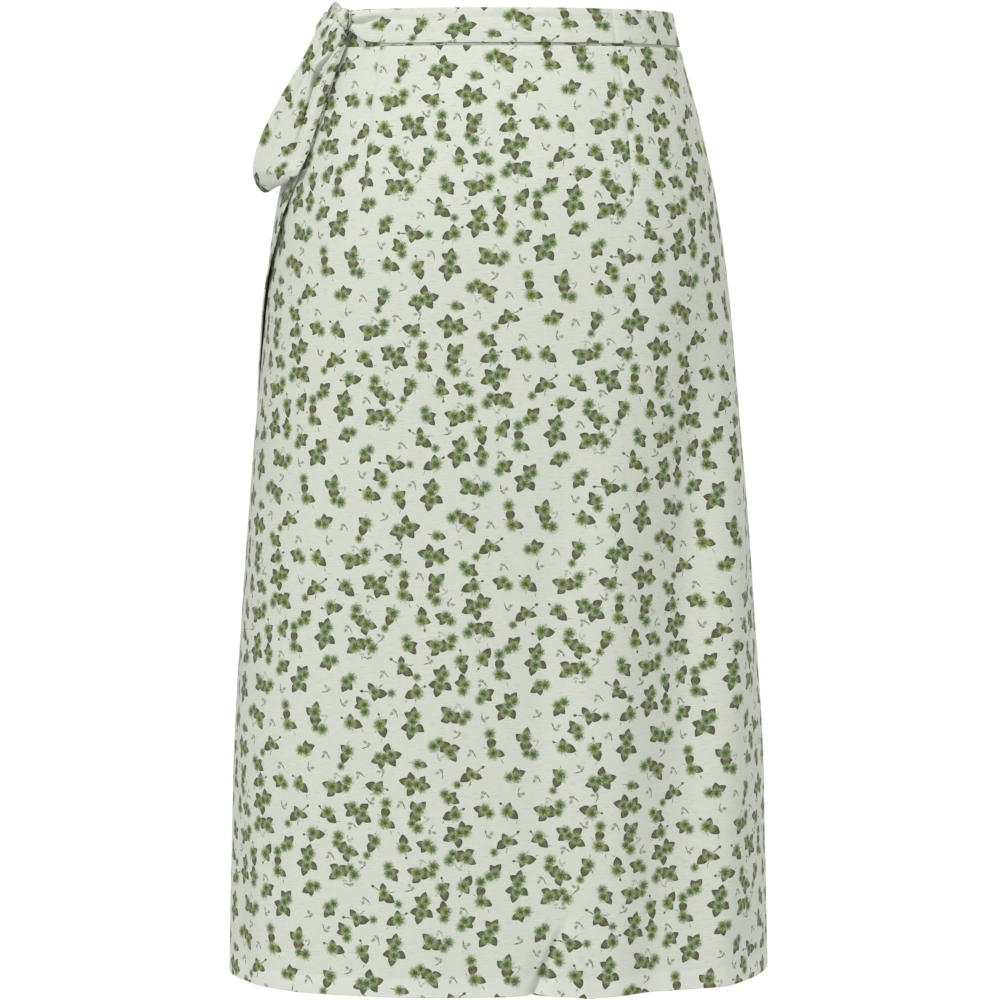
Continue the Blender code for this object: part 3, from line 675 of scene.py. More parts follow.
def print_layers(spots, reach):
    """Named colour layers that tell each face of the cloth which marks it carries."""
    layers = {}
    flowers = nearest_marks("flower", spots, FLOWER_SLOTS, reach)
    for slot in range(FLOWER_SLOTS):
        layers["flower_%d" % slot] = flowers[:, slot, [0, 1, 2, 4]]
    leaves = nearest_marks("leaf", spots, LEAF_SLOTS, reach)
    strokes = nearest_marks("stroke", spots, STROKE_SLOTS, reach)
    sprigs = nearest_marks("sprig", spots, 1, reach)

    def with_axis(rows, size):
        axis = np.stack((np.cos(rows[:, 3]), np.sin(rows[:, 3])), 1) / size[:, None]
        return np.concatenate((rows[:, :2], axis), axis=1)

    for slot in range(LEAF_SLOTS):
        layers["leaf_%d" % slot] = with_axis(leaves[:, slot], leaves[:, slot, 2])
    for slot in range(STROKE_SLOTS):
        layers["stroke_%d" % slot] = with_axis(strokes[:, slot], strokes[:, slot, 2])
    layers["sprig_0"] = with_axis(sprigs[:, 0], sprigs[:, 0, 2])
    layers["leaf_tones"] = np.concatenate((leaves[:, :3, 4], sprigs[:, :1, 4]), axis=1)
    return layers


# ---- meshes ----------------------------------------------------------------------------
def build_mesh(name, points, quads, quad_uv, layers, materials, inner=None, flat=None, caps=()):
    """A mesh with its cloth map and the print's layers.

    inner marks the quads that take the second material, flat those that are not
    smooth, and caps are faces of any number of corners that close it, unprinted.
    """
    mesh = bpy.data.meshes.new(name)
    mesh.vertices.add(len(points))
    mesh.vertices.foreach_set("co", np.ascontiguousarray(points, np.float32).ravel())
    corners = np.concatenate((quads.ravel(), [v for cap in caps for v in cap])).astype(np.int32)
    sizes = np.concatenate((np.full(len(quads), 4), [len(cap) for cap in caps])).astype(np.int32)
    mesh.loops.add(len(corners))
    mesh.loops.foreach_set("vertex_index", corners)
    mesh.polygons.add(len(sizes))
    mesh.polygons.foreach_set("loop_start", np.cumsum(sizes, dtype=np.int32) - sizes)
    mesh.update(calc_edges=True)
    uv = np.zeros((len(corners), 2), np.float32)
    uv[:4 * len(quads)] = quad_uv.reshape(-1, 2)
    mesh.uv_layers.new(name="cloth").data.foreach_set("uv", uv.ravel())
    for key, values in layers.items():
        whole = np.tile(np.array(NO_MARK, np.float32), (len(sizes), 1))
        whole[:len(quads)] = values
        mesh.attributes.new(key, "FLOAT_COLOR", "FACE").data.foreach_set("color", whole.ravel())
    for material in materials:
        mesh.materials.append(material)
    material_index = np.zeros(len(sizes), np.int32)
    smooth_faces = np.zeros(len(sizes), bool)
    material_index[:len(quads)] = 0 if inner is None else inner
    smooth_faces[:len(quads)] = True if flat is None else ~flat
    mesh.polygons.foreach_set("material_index", material_index)
    mesh.polygons.foreach_set("use_smooth", smooth_faces)
    mesh.update()
    if mesh.validate(verbose=False):
        raise RuntimeError(name + ": the mesh had faults")
    piece = bpy.data.objects.new(name, mesh)
    bpy.context.scene.collection.objects.link(piece)
    return piece


def grid_normals(points):
    """Directions square to a grid of points, on the side that rows x columns turns to."""
    down = np.gradient(points, axis=0)
    along = np.gradient(points, axis=1)
    return unit(np.cross(along, down))


def cloth_wall(name, points, uv, thickness, materials, hole=None):
    """A thin closed wall: its outer face on the points, its inner face behind them.

    Columns run towards the left side of the skirt and rows run down. hole is a block
    of cells (first and last column, first and last row) that is left open.
    """
    rows, columns = points.shape[:2]
    inner = points - grid_normals(points) * np.asarray(thickness)[..., None]
    count = rows * columns
    number = np.arange(count).reshape(rows, columns)
    a, b = number[:-1, :-1], number[:-1, 1:]
    c, d = number[1:, 1:], number[1:, :-1]
    open_cell = np.zeros((rows - 1, columns - 1), bool)
    if hole:
        open_cell[hole[2]:hole[3], hole[0]:hole[1]] = True
    solid = ~open_cell
    outer = np.stack((a, d, c, b), -1)[..., ::-1][solid]
    back = np.stack((a, b, c, d), -1)[..., ::-1][solid] + count
    cell = np.arange((rows - 1) * (columns - 1)).reshape(rows - 1, columns - 1)
    rims, rim_cells = [], []

    def add_rim(first, second, cells):
        rims.append(np.stack((first, second, second + count, first + count), -1).reshape(-1, 4))
        rim_cells.append(np.asarray(cells).ravel())

    add_rim(number[0, 1:], number[0, :-1], cell[0])
    add_rim(number[-1, :-1], number[-1, 1:], cell[-1])
    add_rim(number[:-1, 0], number[1:, 0], cell[:, 0])
    add_rim(number[1:, -1], number[:-1, -1], cell[:, -1])
    if hole:
        c0, c1, r0, r1 = hole
        add_rim(number[r0, c0:c1], number[r0, c0 + 1:c1 + 1], cell[r0 - 1, c0:c1])
        add_rim(number[r1, c0 + 1:c1 + 1], number[r1, c0:c1], cell[r1, c0:c1])
        add_rim(number[r0 + 1:r1 + 1, c0], number[r0:r1, c0], cell[r0:r1, c0 - 1])
        add_rim(number[r0:r1, c1], number[r0 + 1:r1 + 1, c1], cell[r0:r1, c1])
    rim = np.concatenate(rims)
    faces = np.concatenate((outer, back, rim))
    spots = (uv[:-1, :-1] + uv[:-1, 1:] + uv[1:, 1:] + uv[1:, :-1]) / 4
    size = np.linalg.norm(uv[1:, 1:] - uv[:-1, :-1], axis=-1).ravel() / 2
    layers = print_layers(spots.reshape(-1, 2), np.minimum(size, 4.0))
    index = np.concatenate((cell[solid], cell[solid], np.concatenate(rim_cells)))
    is_inner = np.zeros(len(faces), int)
    is_inner[len(outer):len(outer) + len(back)] = 1
    is_rim = np.zeros(len(faces), bool)
    is_rim[len(outer) + len(back):] = True
    return build_mesh(name, np.concatenate((points.reshape(-1, 3), inner.reshape(-1, 3))), faces,
                      uv.reshape(-1, 2)[faces % count], {k: v[index] for k, v in layers.items()},
                      materials, is_inner, is_rim)


def corner_uv(u, v, uv_start):
    """The cloth map at each quad's corners, where rows share v and columns share u."""
    grid = np.stack(np.broadcast_arrays(u[None, :] + uv_start[0], v[:, None] + uv_start[1]), -1)
    corners = (grid[:-1, :-1], grid[:-1, 1:], grid[1:, 1:], grid[1:, :-1])
    return np.stack(corners, -2).reshape(-1, 4, 2)


def edge_share(rows):
    """Places from 0 to 1 across a strip, closer together at its edges."""
    return 0.5 - 0.5 * np.cos(pi * np.linspace(0.0, 1.0, rows))


def folded_strip(node, middle, thickness, sizes, dent=0.0, name=None):
    """A strip of doubled cloth with rounded edges, closed at both ends.

    middle is its middle surface: rows run across the strip and columns along it.
    dent is how much thinner its outer side is. The piece takes its node's name,
    unless it has its own, and its node's place.
    """
    rows, columns = middle.shape[:2]
    across = edge_share(rows)
    normal = grid_normals(middle)
    half = (thickness / 2 * (1 - np.abs(2 * across - 1) ** 6) ** 0.5)[:, None]
    upper = middle + normal * (half - dent)[..., None]
    lower = (middle - normal * half[..., None])[1:-1][::-1]
    ring = np.concatenate((upper, lower))
    around = len(ring)
    step = np.linalg.norm(np.diff(middle, axis=1), axis=-1).mean(axis=0)
    along = np.concatenate(([0.0], np.cumsum(step))) * 1000
    width = np.linalg.norm(np.diff(middle, axis=0), axis=-1).sum(axis=0).max() * 1000
    side = np.concatenate((across, 2 - across[1:-1][::-1], (2.0,))) * width
    number = np.arange(around * columns).reshape(around, columns)
    following = np.roll(number, -1, axis=0)
    quads = np.stack((number[:, :-1], number[:, 1:], following[:, 1:], following[:, :-1]), -1)
    quads = quads.reshape(-1, 4)
    caps = []
    for k in range(rows - 1):
        top, low = number[k], number[(around - k) % around]
        top_next, low_next = number[k + 1], number[around - k - 1]
        caps.append((low[0], top[0], top_next[0], low_next[0]))
        caps.append((top[-1], low[-1], low_next[-1], top_next[-1]))
    caps = [tuple(dict.fromkeys(int(v) for v in cap)) for cap in caps]
    quad_uv = corner_uv(-along, side, CUT_FROM[node])
    layers = print_layers(quad_uv.mean(axis=1), 1.8)
    piece = build_mesh(name or node + "_crepe", ring.reshape(-1, 3), quads, quad_uv, layers,
                       cloth_materials(sizes), caps=caps)
    ride_in_place(piece, node)
    return piece


# ---- materials -------------------------------------------------------------------------
class Wiring:
    """Adds nodes to one tree. Any input may be a number, a colour or another node's socket."""

    def __init__(self, tree):
        self.tree = tree

    def put(self, socket, value):
        if isinstance(value, bpy.types.NodeSocket):
            self.tree.links.new(value, socket)
        elif value is not None:
            socket.default_value = value

    def add(self, kind, *values, **settings):
        made = self.tree.nodes.new(kind)
        for key, value in settings.items():
            setattr(made, key, value)
        for socket, value in zip(made.inputs, values):
            self.put(socket, value)
        return made

    def math(self, operation, a, b=None, c=None, clamp=False):
        return self.add("ShaderNodeMath", a, b, c, operation=operation, use_clamp=clamp).outputs[0]

    def vector(self, operation, a, b=None):
        made = self.add("ShaderNodeVectorMath", a, b, operation=operation)
        return made.outputs["Value" if operation in ("LENGTH", "DOT_PRODUCT") else "Vector"]

    def mix(self, factor, a, b):
        made = self.add("ShaderNodeMix", factor, data_type="RGBA")
        self.put(made.inputs[6], a)
        self.put(made.inputs[7], b)
        return made.outputs[2]

    def blend(self, factor, a, b):
        """A number between a and b."""
        made = self.add("ShaderNodeMix", factor)
        self.put(made.inputs[2], a)
        self.put(made.inputs[3], b)
        return made.outputs[0]

    def split(self, vector):
        return self.add("ShaderNodeSeparateXYZ", vector).outputs

    def join(self, x, y, z=0.0):
        return self.add("ShaderNodeCombineXYZ", x, y, z).outputs[0]

    def soft_step(self, value, low, high):
        return self.add("ShaderNodeMapRange", value, low, high, 0.0, 1.0,
                        interpolation_type="SMOOTHSTEP").outputs[0]

    def noise(self, vector, scale, detail=1.0):
        made = self.add("ShaderNodeTexNoise", noise_dimensions="2D")
        self.put(made.inputs["Vector"], vector)
        made.inputs["Scale"].default_value = scale
        made.inputs["Detail"].default_value = detail
        return made

    def layer(self, name):
        return self.add("ShaderNodeAttribute", attribute_name=name,
                        attribute_type="GEOMETRY").outputs


def local_axes(wiring, spot, layer):
    """Place of a spot along and across a mark, in half lengths of the mark."""
    dx, dy, minus_x = wiring.split(wiring.vector("SUBTRACT", spot, layer["Vector"]))
    axis_y = layer["Alpha"]
    along = wiring.math("SUBTRACT", wiring.math("MULTIPLY", dy, axis_y),
                        wiring.math("MULTIPLY", dx, minus_x))
    across = wiring.math("MULTIPLY_ADD", dy, minus_x, wiring.math("MULTIPLY", dx, axis_y))
    return along, across


def round_length(wiring, x, y):
    return wiring.math("SQRT", wiring.math("MULTIPLY_ADD", x, x, wiring.math("MULTIPLY", y, y)))


def flower_shape(wiring, spot, layer):
    """0 at a flower's centre and 1 at its petals' edge; and its rays, from -1 to 1."""
    away = wiring.vector("SUBTRACT", spot, layer["Vector"])
    dx, dy, minus_size = wiring.split(away)
    radius = round_length(wiring, dx, dy)
    angle = wiring.math("ARCTAN2", dy, dx)
    turned = wiring.math("MULTIPLY_ADD", angle, 7.0, wiring.math("MULTIPLY", layer["Alpha"], 9.0))
    size = wiring.math("MULTIPLY", minus_size, -1.0)
    return wiring.math("DIVIDE", radius, size), wiring.math("COSINE", turned)


def leaf_shape(wiring, spot, layer):
    """0 in the middle of a leaf, 1 at its edge: round at one end, pointed at the other."""
    along, across = local_axes(wiring, spot, layer)
    taper = wiring.math("SQRT", wiring.math("MAXIMUM", wiring.math("SUBTRACT", 1.10, along), 0.002))
    width = wiring.math("MULTIPLY", taper, 0.73)
    return round_length(wiring, along, wiring.math("DIVIDE", across, width))


def twigs_shape(wiring, spot, layer, twigs):
    """Below 1 on a sprig's small marks."""
    along, across = local_axes(wiring, spot, layer)
    place = wiring.join(along, across, 1.0)
    nearest = None
    for twig in twigs:
        turn = radians(twig.turn)
        ax, ay = cos(turn) / twig.half, sin(turn) / twig.half
        bx, by = -ay / twig.slim, ax / twig.slim
        x = wiring.vector("DOT_PRODUCT", place, (ax, ay, -ax * twig.x - ay * twig.y))
        y = wiring.vector("DOT_PRODUCT", place, (bx, by, -bx * twig.x - by * twig.y))
        shape = round_length(wiring, x, y)
        nearest = shape if nearest is None else wiring.math("MINIMUM", nearest, shape)
    return nearest


def colour(red, green, blue):
    """A colour from the values 0 to 255 that a screen shows."""
    def linear(value):
        value /= 255.0
        return value / 12.92 if value <= 0.04045 else ((value + 0.055) / 1.055) ** 2.4
    return (linear(red), linear(green), linear(blue), 1.0)


def new_material(name):
    """A new material, with its wiring and its shader."""
    material = bpy.data.materials.new(name)
    material.use_nodes = True
    return material, Wiring(material.node_tree), material.node_tree.nodes["Principled BSDF"]


def tint(sizes, name):
    return tuple(getattr(sizes, name + "_colour")) + (1.0,)


def moved(wiring, place, shift, reach):
    """A place, shifted by up to half of reach each way."""
    result = wiring.vector("MULTIPLY_ADD", shift, (reach, reach, 0.0))
    wiring.put(result.node.inputs[2], place)
    return result


def roughen(wiring, shader, height, strength, distance):
    """Small relief that only the light shows."""
    bump = wiring.add("ShaderNodeBump")
    bump.inputs["Strength"].default_value = strength
    bump.inputs["Distance"].default_value = distance
    wiring.put(bump.inputs["Height"], height)
    wiring.put(shader.inputs["Normal"], bump.outputs[0])


def crepe_ground(wiring, plain, sizes):
    """Off-white with fine slubs that run across, lighter over the hem; and the slubs alone."""
    streaks = wiring.noise(wiring.vector("MULTIPLY", plain, (0.13, 1.35, 0.0)), 1.0, 1.0).outputs[0]
    bright = wiring.soft_step(streaks, 0.36, 0.22)
    ground = wiring.mix(bright, tint(sizes, "cloth"), tint(sizes, "slub"))
    dull = wiring.soft_step(streaks, 0.60, 0.78)
    ground = wiring.mix(dull, ground, tint(sizes, "shade"))
    height = wiring.split(wiring.add("ShaderNodeTexCoord").outputs["Object"])[2]
    hem_top = sizes.hem_depth - HEM_DROP
    hem = wiring.soft_step(height, hem_top + 0.002, hem_top - 0.002)
    return wiring.mix(wiring.math("MULTIPLY", hem, 0.8), ground, tint(sizes, "hem")), streaks


def print_sprigs(wiring, cover, spot, tones, strength, sizes):
    """Sprigs, with pale buds on thin twigs, and single strokes."""
    sprig = wiring.layer("sprig_0")
    full = wiring.math("MULTIPLY_ADD", tones["Alpha"], 0.30, 0.62)
    full = wiring.math("MULTIPLY", full, strength)
    for twigs, solid, ink in ((BUDS, 0.35, "bud"), (TWIGS, 0.45, "stem")):
        shape = wiring.soft_step(twigs_shape(wiring, spot, sprig, twigs), 1.35, solid)
        cover = wiring.mix(wiring.math("MULTIPLY", shape, full), cover, tint(sizes, ink))
    for slot in range(STROKE_SLOTS):
        along, across = local_axes(wiring, spot, wiring.layer("stroke_%d" % slot))
        line = round_length(wiring, along, wiring.math("DIVIDE", across, 0.15))
        line = wiring.math("MULTIPLY", wiring.soft_step(line, 1.25, 0.55), 0.8 * strength)
        cover = wiring.mix(line, cover, tint(sizes, "stem"))
    return cover


def print_leaves(wiring, cover, calm, speck, tones, strength, sizes):
    """Leaves: the first lies on the second, and that on the third."""
    tone_parts = wiring.split(tones["Vector"])
    shape, tone = None, None
    for slot in reversed(range(LEAF_SLOTS)):
        own = leaf_shape(wiring, calm, wiring.layer("leaf_%d" % slot))
        if shape is None:
            shape, tone = own, tone_parts[slot]
        else:
            inside = wiring.math("LESS_THAN", own, 1.0)
            shape = wiring.blend(inside, shape, own)
            tone = wiring.blend(inside, tone, tone_parts[slot])
    dryness = wiring.soft_step(tone, 0.35, 1.05)
    flesh = wiring.mix(dryness, tint(sizes, "leaf"), tint(sizes, "dry_leaf"))
    pale = wiring.math("MULTIPLY", wiring.soft_step(speck, 0.42, 0.60),
                       wiring.soft_step(shape, 0.85, 0.45))
    flesh = wiring.mix(wiring.math("MULTIPLY", pale, 0.55), flesh, tint(sizes, "leaf_light"))
    border = wiring.math("MULTIPLY_ADD", speck, -0.6, wiring.math("ADD", shape, 0.30))
    leaf = wiring.mix(wiring.soft_step(border, 0.62, 0.95), flesh, tint(sizes, "leaf_rim"))
    leaf_cover = wiring.soft_step(shape, 1.08, 0.90)
    return wiring.mix(wiring.math("MULTIPLY", leaf_cover, 0.95 * strength), cover, leaf)


def print_flowers(wiring, cover, spot, speck, strength, sizes):
    """Flowers, soft at their edges, over the leaves."""
    petals, bloom, rays = None, None, None
    for slot in range(FLOWER_SLOTS):
        layer = wiring.layer("flower_%d" % slot)
        own, own_rays = flower_shape(wiring, spot, layer)
        if petals is None:
            petals, bloom, rays = own, layer["Alpha"], own_rays
        else:
            closer = wiring.math("LESS_THAN", own, petals)
            petals = wiring.math("MINIMUM", petals, own)
            bloom = wiring.blend(closer, bloom, layer["Alpha"])
            rays = wiring.blend(closer, rays, own_rays)
    ragged = wiring.math("MULTIPLY_ADD", wiring.math("SUBTRACT", speck, 0.5), 0.9, petals)
    rayed = wiring.math("MULTIPLY_ADD", rays, 0.09, ragged)
    greener = wiring.soft_step(bloom, 0.20, 0.70)
    petal = wiring.mix(greener, tint(sizes, "yellow_petal"), tint(sizes, "petal"))
    petal = wiring.mix(wiring.soft_step(bloom, 0.95, 1.30), petal, tint(sizes, "mint_petal"))
    flower = wiring.mix(wiring.soft_step(rayed, 0.10, 0.48), tint(sizes, "flower_heart"), petal)
    flower = wiring.mix(wiring.soft_step(rayed, 0.44, 0.86), flower, tint(sizes, "petal_edge"))
    flower_cover = wiring.soft_step(wiring.math("MULTIPLY_ADD", rays, 0.05, ragged), 1.26, 0.62)
    return wiring.mix(wiring.math("MULTIPLY", flower_cover, 0.96 * strength), cover, flower)


def printed_crepe(name, strength, sizes):
    """Matte crepe with slubs and the small flower print; strength is how strongly it is printed."""
    material = bpy.data.materials.get(name)
    if material:
        return material
    material, wiring, shader = new_material(name)
    plain = wiring.add("ShaderNodeUVMap", uv_map="cloth").outputs[0]
    fuzz = wiring.noise(plain, 0.80, 2.0)
    shift = wiring.vector("SUBTRACT", fuzz.outputs["Color"], (0.5, 0.5, 0.5))
    spot = moved(wiring, plain, shift, 1.3)
    calm = moved(wiring, plain, shift, 0.45)
    speck = fuzz.outputs[0]
    cover, streaks = crepe_ground(wiring, plain, sizes)
    tones = wiring.layer("leaf_tones")
    cover = print_sprigs(wiring, cover, spot, tones, strength, sizes)
    cover = print_leaves(wiring, cover, calm, speck, tones, strength, sizes)
    cover = print_flowers(wiring, cover, spot, speck, strength, sizes)
    wiring.put(shader.inputs["Base Color"], cover)
    grain = wiring.noise(plain, 2.1, 2.0).outputs[0]
    relief = wiring.math("MULTIPLY_ADD", streaks, 0.5, grain)
    roughen(wiring, shader, relief, sizes.grain_depth, 0.0004)
    wiring.put(shader.inputs["Roughness"], wiring.math("MULTIPLY_ADD", grain, 0.16, 0.70))
    shader.inputs["Sheen Weight"].default_value = 0.06
    shader.inputs["Sheen Roughness"].default_value = 0.45
    shader.inputs["Specular IOR Level"].default_value = 0.30
    return material


def thread_material(sizes):
    """Off-white sewing thread with a fine twist."""
    material = bpy.data.materials.get("thread")
    if material:
        return material
    material, wiring, shader = new_material("thread")
    twist = wiring.add("ShaderNodeTexNoise", noise_dimensions="3D")
    wiring.put(twist.inputs["Vector"], wiring.add("ShaderNodeTexCoord").outputs["Object"])
    twist.inputs["Scale"].default_value = 2500.0
    twisted = wiring.mix(twist.outputs[0], tint(sizes, "shade"), tint(sizes, "thread"))
    wiring.put(shader.inputs["Base Color"], twisted)
    roughen(wiring, shader, twist.outputs[0], 0.4, 0.0001)
    shader.inputs["Roughness"].default_value = 0.6
    return material


# ---- stitches --------------------------------------------------------------------------
def stitch_tree():
    """Geometry Nodes that sew one stitch after another along rows of edges."""
    tree = bpy.data.node_groups.get("stitches")
    if tree:
        return tree
    tree = bpy.data.node_groups.new("stitches", "GeometryNodeTree")
    for name, kind in (("Rows", "Geometry"), ("Pitch", "Float"), ("Length", "Float"),
                       ("Thread", "Float"), ("Evenness", "Float"), ("Seed", "Int"),
                       ("Material", "Material")):
        tree.interface.new_socket(name=name, in_out="INPUT", socket_type="NodeSocket" + kind)
    tree.interface.new_socket(name="Stitches", in_out="OUTPUT", socket_type="NodeSocketGeometry")
    wiring = Wiring(tree)
    given = wiring.add("NodeGroupInput").outputs
    line = wiring.add("GeometryNodeMeshToCurve", given["Rows"]).outputs[0]
    spaced = wiring.add("GeometryNodeResampleCurve", line, mode="LENGTH")
    wiring.put(spaced.inputs["Length"], given["Pitch"])
    bead = wiring.add("GeometryNodeMeshUVSphere", 6, 5, 1.0).outputs[0]
    half = wiring.math("MULTIPLY", given["Length"], 0.5)
    shape = wiring.join(given["Thread"], given["Thread"], half)
    bead = wiring.add("GeometryNodeTransform", bead, None, None, shape).outputs[0]
    tangent = wiring.add("GeometryNodeInputTangent").outputs[0]
    turn = wiring.add("FunctionNodeAlignRotationToVector", None, 1.0, tangent, axis="Z").outputs[0]
    uneven = wiring.add("FunctionNodeRandomValue", data_type="FLOAT")
    wiring.put(uneven.inputs[2], given["Evenness"])
    uneven.inputs[3].default_value = 1.0
    wiring.put(uneven.inputs["Seed"], given["Seed"])
    sewn = wiring.add("GeometryNodeInstanceOnPoints", spaced.outputs[0], None, bead, None, None,
                      turn, uneven.outputs[1]).outputs[0]
    sewn = wiring.add("GeometryNodeRealizeInstances", sewn).outputs[0]
    sewn = wiring.add("GeometryNodeSetShadeSmooth", sewn).outputs[0]
    sewn = wiring.add("GeometryNodeSetMaterial", sewn, None, given["Material"]).outputs[0]
    wiring.add("NodeGroupOutput", sewn)
    return tree


def sew(name, rows, sizes):
    """Stitches along rows of points, as one plain mesh."""
    points, edges = [], []
    for row in rows:
        edges += [(len(points) + k, len(points) + k + 1) for k in range(len(row) - 1)]
        points += [tuple(point) for point in row]
    mesh = bpy.data.meshes.new(name + "_rows")
    mesh.from_pydata(points, edges, [])
    piece = bpy.data.objects.new(name, mesh)
    bpy.context.scene.collection.objects.link(piece)
    values = {"Pitch": sizes.stitch_pitch, "Length": sizes.stitch_length,
              "Thread": sizes.thread_radius, "Evenness": 0.86, "Seed": 7,
              "Material": thread_material(sizes)}
    modifier = piece.modifiers.new("stitches", "NODES")
    modifier.node_group = stitch_tree()
    for socket in modifier.node_group.interface.items_tree:
        if socket.name in values:
            modifier[socket.identifier] = values[socket.name]
    seen = piece.evaluated_get(bpy.context.evaluated_depsgraph_get())
    sewn = bpy.data.meshes.new_from_object(seen)
    sewn.name = name
    piece.modifiers.clear()
    piece.data = sewn
    if not sewn.polygons:
        raise RuntimeError(name + ": no stitches were made")
    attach(piece, "root")
    return piece


# ---- what a user may change ------------------------------------------------------------
def colour_property(name, description, on_screen):
    return bpy.props.FloatVectorProperty(name=name, description=description, subtype="COLOR", size=3,
                                         default=colour(*on_screen)[:3], min=0.0, max=1.0)


class SkirtSizes(bpy.types.PropertyGroup):
    """Sizes and colours of the dressed skirt."""
    cloth_thickness: bpy.props.FloatProperty(
        name="Cloth thickness", description="Thickness of one layer of the crepe",
        default=0.0005, min=0.0002, max=0.0010, unit="LENGTH", precision=4)
    face_size: bpy.props.FloatProperty(
        name="Face size", description="Size of the panels' faces",
        default=0.0029, min=0.0020, max=0.0100, unit="LENGTH", precision=4)
    hem_depth: bpy.props.FloatProperty(
        name="Hem depth", description="Height of the turned-up hem inside",
        default=0.014, min=0.005, max=0.040, unit="LENGTH", precision=4)
    stitch_pitch: bpy.props.FloatProperty(
        name="Stitch pitch", description="Distance from one stitch to the next",
        default=0.0032, min=0.0020, max=0.0060, unit="LENGTH", precision=4)
    stitch_length: bpy.props.FloatProperty(
        name="Stitch length", description="Length of the thread that shows in one stitch",
        default=0.0024, min=0.0010, max=0.0050, unit="LENGTH", precision=4)
    thread_radius: bpy.props.FloatProperty(
        name="Thread radius", description="Half the thickness of the sewing thread",
        default=0.00013, min=0.00005, max=0.0003, unit="LENGTH", precision=5)
    dart_intake: bpy.props.FloatProperty(
        name="Dart intake", description="Width of cloth that each dart takes in at the waist",
        default=0.022, min=0.0, max=0.040, unit="LENGTH", precision=4)
    grain_depth: bpy.props.FloatProperty(
        name="Grain depth", description="Strength of the crepe's grain",
        default=0.22, min=0.0, max=1.0, subtype="FACTOR")
    cloth_colour: colour_property("Cloth", "Off-white ground of the cloth", (219, 223, 210))
    hem_colour: colour_property("Hem", "Ground where the cloth is doubled", (226, 229, 219))
    shade_colour: colour_property("Dull slubs", "Duller threads in the ground", (207, 211, 198))
    slub_colour: colour_property("Bright slubs", "Brighter threads in the ground", (224, 228, 216))
    yellow_petal_colour: colour_property("Yellow petals", "Yellow green of some petals", (122, 134, 58))
    petal_colour: colour_property("Petals", "Green of the petals", (104, 125, 66))
    mint_petal_colour: colour_property("Mint petals", "Cooler green of some petals", (104, 134, 88))
    petal_edge_colour: colour_property("Petal edges", "Pale green of the petals' edges", (158, 173, 134))
    flower_heart_colour: colour_property("Flower hearts", "Dark green in the flowers", (58, 72, 26))
    leaf_colour: colour_property("Leaves", "Olive of the leaves", (70, 74, 32))
    dry_leaf_colour: colour_property("Brown leaves", "Brown of the larger leaves", (86, 72, 36))
    leaf_light_colour: colour_property("Leaf lights", "Lighter flecks in the leaves", (122, 124, 72))
    leaf_rim_colour: colour_property("Leaf rims", "Dark rims of the leaves", (42, 45, 16))
    stem_colour: colour_property("Stems", "Grey-green stems and thin strokes", (70, 78, 60))
    bud_colour: colour_property("Buds", "Pale grey-green of the sprigs' buds", (134, 152, 120))
    thread_colour: colour_property("Thread", "Sewing thread", (226, 228, 218))


def sizes_of(context):
    return context.scene.skirt_sizes


def cloth_materials(sizes):
    return (printed_crepe("crepe_face", 1.0, sizes), printed_crepe("crepe_reverse", 0.42, sizes))


def ride_in_place(piece, *nodes):
    """Puts a finished piece in the place of its frame nodes."""
    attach(piece, "root")
    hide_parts(*nodes)


# ---- panels ----------------------------------------------------------------------------
PANEL_TOP = BAND_HALF + SEAM_GAP
HEM_WALL = 0.0004          # what the hem's turning adds to the cloth's thickness
HEM_ROW_IN = 0.0015        # from the hem's top edge down to its stitches
EDGE_TURN = 0.0070         # width of a free edge's turning
EDGE_ROW_IN = 0.0058       # from a free edge to its stitches
EDGE_FLARE = 0.0022        # how far the over panel's free edge stands out below the bow
FLARE_START = 0.118        # the drop where it begins, and how soon it is full
FLARE_RISE = 0.02
FLARE_MIDDLE = 0.160       # the drop where it is widest, and how far it goes on
FLARE_SPREAD = 0.060
FLARE_WIDTH = 0.012        # how far it reaches from the free edge
ROW_SPREAD = 1.30          # rows lie this much further apart than the face size
COLUMN_CROWD = 1.25        # and columns this much closer
UNDER_FACE_SIZE = 0.0036
SEAM_ROWS = (0.0008, 0.0018)         # close rows below the waist seam
HEM_EDGE_ROW = 0.0006      # a close row above the hem's edge
HEM_TOP_ROW = 0.0004       # and one on either side of the hem's top
LEAST_STEP = 0.00045       # a row nearer than this to the one above is left out
SIDE_COLUMNS = (0.0, 0.0010, 0.0022)                     # close columns at a side seam
DART_COLUMNS = (-0.0040, -0.0026, -0.0012, -0.00002, 0.00002, 0.0012, 0.0026, 0.0040)
SEAM_DIP = 0.00055         # the cloth rolls in towards a side seam
DIP_WIDTH = 0.0012
WAIST_DIP = 0.0006         # and towards the waist seam
WAIST_DIP_WIDTH = 0.0010
SEAM_WALL = 0.0003         # what a side seam's turning adds to the thickness
SEAM_TURN = 0.010          # and how wide it is
EDGE_DENT = 0.00010        # how far a row of stitches draws the cloth in
HEM_DENT = 0.00012
STITCH_SINK = 0.00008      # how deep the stitches lie in the cloth
ROW_POINTS = 400           # points along a row of stitches


def drop_rows(face_size, hem_depth, hem_rise=0.0):
    """Drops of a panel's rows: even, with close ones at the waist seam and the hem's top."""
    end = HEM_DROP - hem_rise
    count = int((end - PANEL_TOP) / face_size / ROW_SPREAD)
    rows = list(np.linspace(PANEL_TOP, end, count + 1))
    rows += [PANEL_TOP + below for below in SEAM_ROWS]
    rows += [end - HEM_EDGE_ROW, end - hem_depth - HEM_TOP_ROW, end - hem_depth + HEM_TOP_ROW]
    rows = np.array(sorted(rows))
    keep = np.concatenate(([True], np.diff(rows) > LEAST_STEP))
    keep[-1] = True
    return rows[keep]


